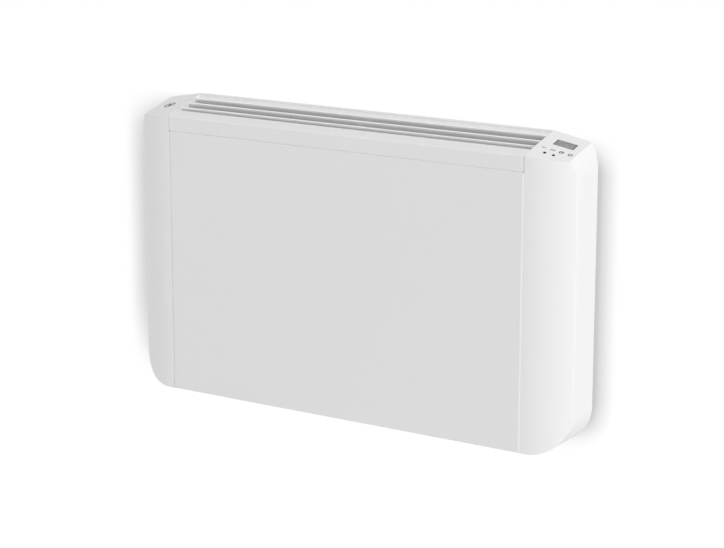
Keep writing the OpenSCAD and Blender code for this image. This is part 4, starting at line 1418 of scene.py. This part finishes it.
@dataclass
class ControlPanel:
    """Keys with printed signs, and the display with its pane.

    Attributes:
        case: Planes of the case.
        wardrobe: The finishes.
        ink: Thickness of a printed sign.
        line: Width of a sign's lines.
        heavy_line: Width of the clock's and the power sign's lines.
        mark_line: Width of the lines of the mark on the left cap.
        mark_r: Radius of the mark on the left cap.
        mark_u: Middle of the mark, outwards from the seam.
        mark_v: Middle of the mark, forwards from the back edge.
        sign_r: Radius of the clock and of the power sign.
        hand: Length of the clock's hands.
        hand_at: Middle of the level hand, outwards, and of the upright one, upwards.
        stroke: Length of the power sign's stroke.
        stroke_up: Its middle above the middle of the ring.
        opening: Angle that the power sign's ring leaves open, in radians.
        dash: Length of a dash.
        dash_step: Distance from dash to dash in a row.
        dash_up: Distance of the rows from the middle.
        small_r: Radius of a small ring.
        ring_step: Distance from small ring to small ring.
        soft_r: Rounding of the keys and of the pane.
        flange: Width and thickness of a flat key's flange under the cap's top.
        border_at: How far the pane's printed border starts and ends inside the pane's edge.
        digit_size: Width and height of a digit.
        digit_step: Distance from digit to digit.
        colon: How far the digits move apart from the middle.
    """

    case: CaseFrame
    wardrobe: Wardrobe
    ink: float = 0.04 * MM
    line: float = 1.05 * MM
    heavy_line: float = 1.4 * MM
    mark_line: float = 2.0 * MM
    mark_r: float = 8 * MM
    mark_u: float = 33 * MM
    mark_v: float = 42 * MM
    sign_r: float = 2.7 * MM
    hand: float = 2.2 * MM
    hand_at: tuple[float, float] = (0.7 * MM, 0.8 * MM)
    stroke: float = 2.8 * MM
    stroke_up: float = 1.9 * MM
    opening: float = math.radians(75.0)
    dash: float = 1.5 * MM
    dash_step: float = 2.1 * MM
    dash_up: float = 0.8 * MM
    small_r: float = 0.7 * MM
    ring_step: float = 2.35 * MM
    soft_r: float = 0.25 * MM
    flange: tuple[float, float] = (1.0 * MM, 1.2 * MM)
    border_at: tuple[float, float] = (0.3 * MM, 2.1 * MM)
    digit_size: tuple[float, float] = (3.6 * MM, 7 * MM)
    digit_step: float = 5.6 * MM
    colon: float = 0.5 * MM

    def bar(self, x: float, y: float, length: float, turn: float = 0.0) -> bmesh.types.BMesh:
        """Make a short printed line.

        Args:
            x: Its middle.
            y: Its middle.
            length: Its length.
            turn: Angle from the X axis, in radians.

        Returns:
            The solid.
        """
        bm = box_mesh((-length / 2, -self.line / 2, 0.0), (length / 2, self.line / 2, self.ink))
        place = Matrix.Translation((x, y, 0.0)) @ Matrix.Rotation(turn, 4, "Z")
        bmesh.ops.transform(bm, matrix=place, verts=bm.verts[:])
        return bm

    def ring(self, x: float, y: float, radius: float, gap: float = 0.0) -> bmesh.types.BMesh:
        """Make a printed ring, which may be open at the top.

        Args:
            x: Its middle.
            y: Its middle.
            radius: Radius of the middle of its line.
            gap: Angle left open, in radians.

        Returns:
            The solid.
        """
        bm = box_mesh((radius - self.line / 2, 0.0, 0.0), (radius + self.line / 2, 0.0, self.ink))
        bmesh.ops.remove_doubles(bm, verts=bm.verts[:], dist=SAME)
        bmesh.ops.delete(bm, geom=bm.faces[1:], context="FACES_ONLY")
        loose = [e for e in bm.edges if not e.link_faces]
        bmesh.ops.delete(bm, geom=loose, context="EDGES")
        start = Matrix.Rotation(math.pi / 2 + gap / 2, 4, "Z")
        bmesh.ops.transform(bm, matrix=start, verts=bm.verts[:])
        whole = gap == 0.0
        bmesh.ops.spin(bm, geom=bm.faces[:] + bm.edges[:], cent=(0, 0, 0), axis=(0, 0, 1),
                       angle=math.tau - gap, steps=40, use_merge=whole)
        if whole:
            across = [f for f in bm.faces if abs(f.normal.z) < 0.1
                      and len({round(v.co.length, 7) for v in f.verts}) > 2]
            bmesh.ops.delete(bm, geom=across, context="FACES_ONLY")
        bmesh.ops.recalc_face_normals(bm, faces=bm.faces[:])
        bmesh.ops.translate(bm, verts=bm.verts[:], vec=(x, y, 0.0))
        return bm

    def sign(self, sign: Sign) -> list[bmesh.types.BMesh]:
        """Draw a sign round its own middle.

        Args:
            sign: Which sign.

        Returns:
            Its solids.
        """
        if sign is Sign.LINES:
            return [self.bar(k * self.dash_step, row * self.dash_up, self.dash)
                    for k in (-1, 0, 1) for row in (-1, 1)]
        if sign is Sign.RINGS:
            return [self.ring(k * self.ring_step, 0.0, self.small_r) for k in (-1, 0, 1)]
        if sign is Sign.TARGET:
            dot = rod_mesh(self.mark_r / 2, self.ink, Matrix.Translation((0.0, 0.0, self.ink / 2)))
            return [replace(self, line=self.mark_line).ring(0.0, 0.0, self.mark_r), dot]
        heavy = replace(self, line=self.heavy_line)
        if sign is Sign.CLOCK:
            out, up = self.hand_at
            upright = self.bar(0.0, up, self.hand, math.pi / 2)
            return [heavy.ring(0.0, 0.0, self.sign_r), upright, self.bar(out, 0.0, self.hand)]
        return [heavy.ring(0.0, 0.0, self.sign_r, self.opening),
                heavy.bar(0.0, self.stroke_up, self.stroke, math.pi / 2)]

    def printed(self, solids: list[bmesh.types.BMesh], place: Matrix, name: str, body: str,
                finish: str) -> bpy.types.Object:
        """Join the solids of a sign and set them on their surface.

        Args:
            solids: The solids.
            place: Frame of the surface.
            name: Name of the piece.
            body: The body that it moves with.
            finish: Its finish.

        Returns:
            The piece.
        """
        bm = joined(solids)
        bmesh.ops.transform(bm, matrix=place, verts=bm.verts[:])
        piece = as_object(bm, name)
        slot = "key_black" if finish == "dark_ink" else "lcd_face"
        return install(piece, body, slot, self.wardrobe, finish=finish)

    def flat_key(self, key: str, sign: Sign, finish: str) -> None:
        """Make a flat key with a rounded rim and its sign.

        Args:
            key: The node's name.
            sign: The printed sign.
            finish: The ink.
        """
        top, radius = key_place(self.case, key)
        low, _ = flat_box(key, self.case.cap_top().inverted())
        place = self.case.cap_top() @ Matrix.Translation((top.x, top.y, 0.0))
        middle = place @ Matrix.Translation((0, 0, (top.z + low.z) / 2))
        stem = rod_mesh(radius, top.z - low.z, middle, sides=56)
        soften(stem, sharp_edges(stem, 60.0), self.soft_r, 3)
        width, thick = self.flange
        below = place @ Matrix.Translation((0, 0, low.z + thick / 2))
        flange = rod_mesh(radius + width, thick, below, sides=56)
        piece = as_object(tidied(combined(stem, [flange], Combine.JOIN)), f"{key}_cap")
        smooth_piece(piece)
        body = f"{key}_body"
        install(piece, body, "key_white", self.wardrobe, [key])
        self.printed(self.sign(sign), place @ Matrix.Translation((0, 0, top.z)), f"{key}_sign", body, finish)

    def digit(self, x: float, y: float, width: float, height: float) -> list[bmesh.types.BMesh]:
        """Draw the seven unlit segments of a digit.

        Args:
            x: Its middle.
            y: Its middle.
            width: Width of the digit.
            height: Height of the digit.

        Returns:
            The segments.
        """
        share = 0.8
        level = [self.bar(x, y + k * height / 2, width * share) for k in (-1, 0, 1)]
        upright = [self.bar(x + s * width / 2, y + t * height / 4, height / 2 * share, math.pi / 2)
                   for s in (-1, 1) for t in (-1, 1)]
        return level + upright

    def border(self, low: Vector, high: Vector) -> bpy.types.Object:
        """Print the dark border on the underside of the pane.

        Args:
            low: Lowest corner of the pane.
            high: Highest corner of the pane.

        Returns:
            The piece.
        """
        start, end = self.border_at
        bottom, top = low.z + self.ink, low.z + 2 * self.ink
        outer = box_mesh((low.x + start, low.y + start, bottom), (high.x - start, high.y - start, top))
        inner = box_mesh((low.x + end, low.y + end, bottom - MM), (high.x - end, high.y - end, top + MM))
        ring = combined(outer, [inner], Combine.CUT)
        return self.printed([ring], self.case.cap_top(), "pane_border", HEATER, "pane_print")

    def display(self) -> None:
        """Make the display's pane with its border, and the unlit segments on its face."""
        to_top = self.case.cap_top().inverted()
        low, high = flat_box("lcd_window", to_top)
        self.border(low, high)
        pane = box_mesh(low, high)
        soften(pane, pane.edges[:], self.soft_r, 2)
        bmesh.ops.transform(pane, matrix=self.case.cap_top(), verts=pane.verts[:])
        piece = as_object(pane, "display_pane")
        smooth_piece(piece)
        install(piece, HEATER, "lcd_pane", self.wardrobe, ["lcd_window"])
        face_low, face_high = flat_box("lcd_module", to_top)
        middle = (face_low + face_high) / 2
        places = [k * self.digit_step + math.copysign(self.colon, k) for k in (-1.5, -0.5, 0.5, 1.5)]
        digits = [solid for x in places for solid in self.digit(x, 0.0, *self.digit_size)]
        place = self.case.cap_top() @ Matrix.Translation((middle.x, middle.y, face_high.z))
        self.printed(digits, place, "display_segments", HEATER, "segment_print")

    def build(self) -> None:
        """Make all the pieces of the control panel."""
        signs = dict(zip(FLAT_KEYS, (Sign.LINES, Sign.RINGS, Sign.CLOCK, Sign.POWER)))
        inks = dict(zip(FLAT_KEYS, ("grey_ink", "grey_ink", "dark_ink", "dark_ink")))
        for key in FLAT_KEYS:
            self.flat_key(key, signs[key], inks[key])
        self.display()
        mark_place = self.case.cap_top(self.mark_u, self.mark_v, Side.LEFT)
        self.printed(self.sign(Sign.TARGET), mark_place, "cap_mark", HEATER, "dark_ink")


@dataclass(frozen=True)
class Lamp:
    """A soft square light.

    Attributes:
        name: Its name.
        towards: Direction from the object to the light.
        level: Brightness that it gives a white surface that faces it.
        mirrored: Whether it shows in shiny surfaces.
        distance: Distance from the object.
        size: Side of the square.
    """

    name: str
    towards: tuple[float, float, float]
    level: float
    mirrored: bool = True
    distance: float = 7.0
    size: float = 3.5

    def hang(self) -> None:
        """Make the light and hang it in the scene."""
        data = bpy.data.lights.new(self.name, "AREA")
        data.shape, data.size = "SQUARE", self.size
        data.energy = self.level * math.pi ** 2 * self.distance ** 2
        light = bpy.data.objects.new(self.name, data)
        light.visible_glossy = self.mirrored
        bpy.context.scene.collection.objects.link(light)
        direction = Vector(self.towards).normalized()
        light.location = direction * self.distance
        light.rotation_euler = direction.to_track_quat("Z", "Y").to_euler()


LAMPS = (
    Lamp("right_light", (1.0, -0.35, 0.25), 0.31),
    Lamp("front_light", (0.1, -0.9, 0.45), 0.165),
    Lamp("left_light", (-0.7, -0.6, 0.3), 0.15),
    Lamp("high_light", (0.8, 0.0, 0.8), 0.35),
    Lamp("rear_light", (-0.1, 1.0, 0.1), 0.4, mirrored=False),
)


@dataclass(frozen=True)
class WallShade:
    """Soft shade on the wall, which changes from the case's left side to its right side.

    Attributes:
        reach: How far the shade reaches from the case, on the left and on the right.
        gain: How strong it is, on the left and on the right.
        turn: The change from left to right lies within this distance of the middle.
        low: Heights between which it fades in above the case's bottom.
        high: Heights between which it fades out below the case's top.
        hidden: Shares of open view at which the shade is full and at which it ends.
        darkest: Brightness of the wall in the full shade.
        samples: Number of rays that measure the open view.
    """

    reach: tuple[float, float] = (0.11, 0.036)
    gain: tuple[float, float] = (4.4, 1.3)
    turn: float = 0.1
    low: tuple[float, float] = (-0.252, -0.205)
    high: tuple[float, float] = (0.165, 0.2195)
    hidden: tuple[float, float] = (0.35, 0.97)
    darkest: float = 0.59
    samples: int = 32

    def brightness(self, tree: bpy.types.NodeTree) -> bpy.types.NodeSocket:
        """Work out the wall's brightness.

        Args:
            tree: Tree of the wall's material.

        Returns:
            The brightness.
        """
        shade = tree.nodes.new("ShaderNodeAmbientOcclusion")
        shade.samples = self.samples
        split = tree.nodes.new("ShaderNodeSeparateXYZ")
        tree.links.new(object_place(tree), split.inputs[0])
        across, height = split.outputs["X"], split.outputs["Z"]
        tree.links.new(ranged(tree, across, *self.reach, -self.turn, self.turn), shade.inputs["Distance"])
        below = ranged(tree, height, 0.0, 1.0, *self.low)
        above = ranged(tree, height, 1.0, 0.0, *self.high)
        beside = worked(tree, "MULTIPLY", below, above)
        hidden = ranged(tree, shade.outputs["AO"], 1.0, 0.0, *self.hidden)
        gain = ranged(tree, across, *self.gain, -self.turn, self.turn)
        depth = worked(tree, "MULTIPLY", worked(tree, "MULTIPLY", hidden, gain), beside)
        return ranged(tree, depth, 1.0, self.darkest)


@dataclass(frozen=True)
class Studio:
    """White wall, pale floor, soft light and the camera.

    Attributes:
        camera_at: Place of the camera.
        azimuth: Angle round the object, in radians.
        elevation: Angle above the horizon, in radians.
        lens: Focal length, in millimetres.
        sensor: Width of the sensor, in millimetres.
        clip: Distances between which the camera sees.
        ambient: Strength of the even light.
        stage_half: Half the side of the wall and of the floor.
        wall_y: How far the wall's face lies behind the plane of the wall.
        floor_z: Height of the floor.
        floor_grey: Colour of the floor, linear.
        floor_glow: Light that the floor gives off where it is seen, so that it looks white.
        shade: Shade on the wall.
    """

    camera_at: tuple[float, float, float] = (1.7305, -2.7949, 0.7836)
    azimuth: float = math.radians(32.126)
    elevation: float = math.radians(13.827)
    lens: float = 112.34
    sensor: float = 36.0
    clip: tuple[float, float] = (0.05, 60.0)
    ambient: float = 0.4
    stage_half: float = 3.0
    wall_y: float = 0.5 * MM
    floor_z: float = -0.62
    floor_grey: float = 0.8
    floor_glow: float = 0.42
    shade: WallShade = WallShade()

    def camera(self) -> None:
        """Make the camera at the photograph's viewing angle."""
        data = bpy.data.cameras.new("studio_camera")
        data.lens = self.lens
        data.sensor_width = self.sensor
        data.clip_start, data.clip_end = self.clip
        camera = bpy.data.objects.new("studio_camera", data)
        bpy.context.scene.collection.objects.link(camera)
        bpy.context.scene.camera = camera
        a, e = self.azimuth, self.elevation
        ahead = Vector((-math.sin(a) * math.cos(e), math.cos(a) * math.cos(e), -math.sin(e)))
        camera.location = self.camera_at
        camera.rotation_euler = ahead.to_track_quat("-Z", "Y").to_euler()

    def world(self) -> None:
        """Set the even light, which camera, mirror and glass see as white."""
        world = bpy.data.worlds.new("studio")
        bpy.context.scene.world = world
        world.use_nodes = True
        tree = world.node_tree
        back = tree.nodes["Background"]
        back.inputs["Color"].default_value = (1.0, 1.0, 1.0, 1.0)
        seen = self.seen(tree)
        tree.links.new(ranged(tree, seen, self.ambient, 1.0), back.inputs["Strength"])

    @staticmethod
    def seen(tree: bpy.types.NodeTree) -> bpy.types.NodeSocket:
        """Say whether a ray comes from the camera, a mirror or glass.

        Args:
            tree: Tree that gets the nodes.

        Returns:
            One if so, and otherwise zero.
        """
        path = tree.nodes.new("ShaderNodeLightPath")
        straight = worked(tree, "MAXIMUM", path.outputs["Is Camera Ray"], path.outputs["Is Glossy Ray"])
        return worked(tree, "MAXIMUM", straight, path.outputs["Is Transmission Ray"])

    def see_through_back(self, tree: bpy.types.NodeTree, front: bpy.types.NodeSocket) -> None:
        """Finish a stage material: its front as given, its back invisible.

        Args:
            tree: The material's tree.
            front: Shader of the front.
        """
        side = tree.nodes.new("ShaderNodeNewGeometry").outputs["Backfacing"]
        clear = tree.nodes.new("ShaderNodeBsdfTransparent")
        mix = tree.nodes.new("ShaderNodeMixShader")
        tree.links.new(side, mix.inputs["Fac"])
        tree.links.new(front, mix.inputs[1])
        tree.links.new(clear.outputs[0], mix.inputs[2])
        output = next(n for n in tree.nodes if n.type == "OUTPUT_MATERIAL")
        tree.links.new(mix.outputs[0], output.inputs["Surface"])

    @staticmethod
    def bare_material(name: str) -> bpy.types.Material:
        """Start a stage material without its standard shader.

        Args:
            name: Its name.

        Returns:
            The material.
        """
        material = bpy.data.materials.new(name)
        material.use_nodes = True
        material.node_tree.nodes.remove(material.node_tree.nodes["Principled BSDF"])
        return material

    def wall_material(self) -> bpy.types.Material:
        """Make the wall's white, with a soft shade close to the sides of the case.

        Returns:
            The material.
        """
        material = self.bare_material("wall_white")
        tree = material.node_tree
        glow = tree.nodes.new("ShaderNodeEmission")
        tree.links.new(self.shade.brightness(tree), glow.inputs["Strength"])
        self.see_through_back(tree, glow.outputs[0])
        return material

    def floor_material(self) -> bpy.types.Material:
        """Make the floor's pale surface, which keeps shadows and looks white where none falls.

        Returns:
            The material.
        """
        material = self.bare_material("floor_pale")
        tree = material.node_tree
        matt = tree.nodes.new("ShaderNodeBsdfDiffuse")
        matt.inputs["Color"].default_value = (self.floor_grey, self.floor_grey, self.floor_grey, 1.0)
        seen = self.seen(tree)
        glow = tree.nodes.new("ShaderNodeEmission")
        tree.links.new(ranged(tree, seen, 0.0, self.floor_glow), glow.inputs["Strength"])
        add = tree.nodes.new("ShaderNodeAddShader")
        tree.links.new(matt.outputs[0], add.inputs[0])
        tree.links.new(glow.outputs[0], add.inputs[1])
        self.see_through_back(tree, add.outputs[0])
        return material

    def plane(self, name: str, place: Matrix, material: bpy.types.Material) -> bpy.types.Object:
        """Lay a large square of the stage.

        Args:
            name: Its name.
            place: Where it lies.
            material: Its material.

        Returns:
            The plane.
        """
        bm = bmesh.new()
        bmesh.ops.create_grid(bm, x_segments=1, y_segments=1, size=self.stage_half, matrix=place)
        piece = as_object(bm, name)
        piece.data.materials.append(material)
        return piece

    def stand(self) -> None:
        """Put the wall and the floor in place."""
        upright = Matrix.Translation((0, self.wall_y, 0)) @ Matrix.Rotation(math.pi / 2, 4, "X")
        wall = self.plane("stage_wall", upright, self.wall_material())
        wall.visible_diffuse = False
        wall.visible_shadow = False
        wall.visible_glossy = False
        wall.visible_transmission = False
        self.plane("stage_floor", Matrix.Translation((0, 0, self.floor_z)), self.floor_material())

    def build(self) -> None:
        """Build the whole studio."""
        self.camera()
        self.world()
        for lamp in LAMPS:
            lamp.hang()
        self.stand()
        bpy.context.scene.view_settings.view_transform = "Standard"


def main() -> None:
    """Build the studio and dress the heater."""
    logging.basicConfig(level=logging.INFO, format="%(name)s %(message)s")
    Studio().build()
    wardrobe = Wardrobe()
    wardrobe.dress_nodes()
    case = CaseFrame()
    cap = EndCap(case, wardrobe)
    for side in Side:
        cap.build(side)
    FrontPanel(wardrobe).build()
    for node, slot, radius in ROUNDED:
        rounded_copy(node, slot, radius, wardrobe)
    rounded_copy("wall_bracket", "bracket_paint", 0.4 * MM, wardrobe, BRACKET)
    ControlPanel(case, wardrobe).build()


if __name__ == "__main__":
    main()
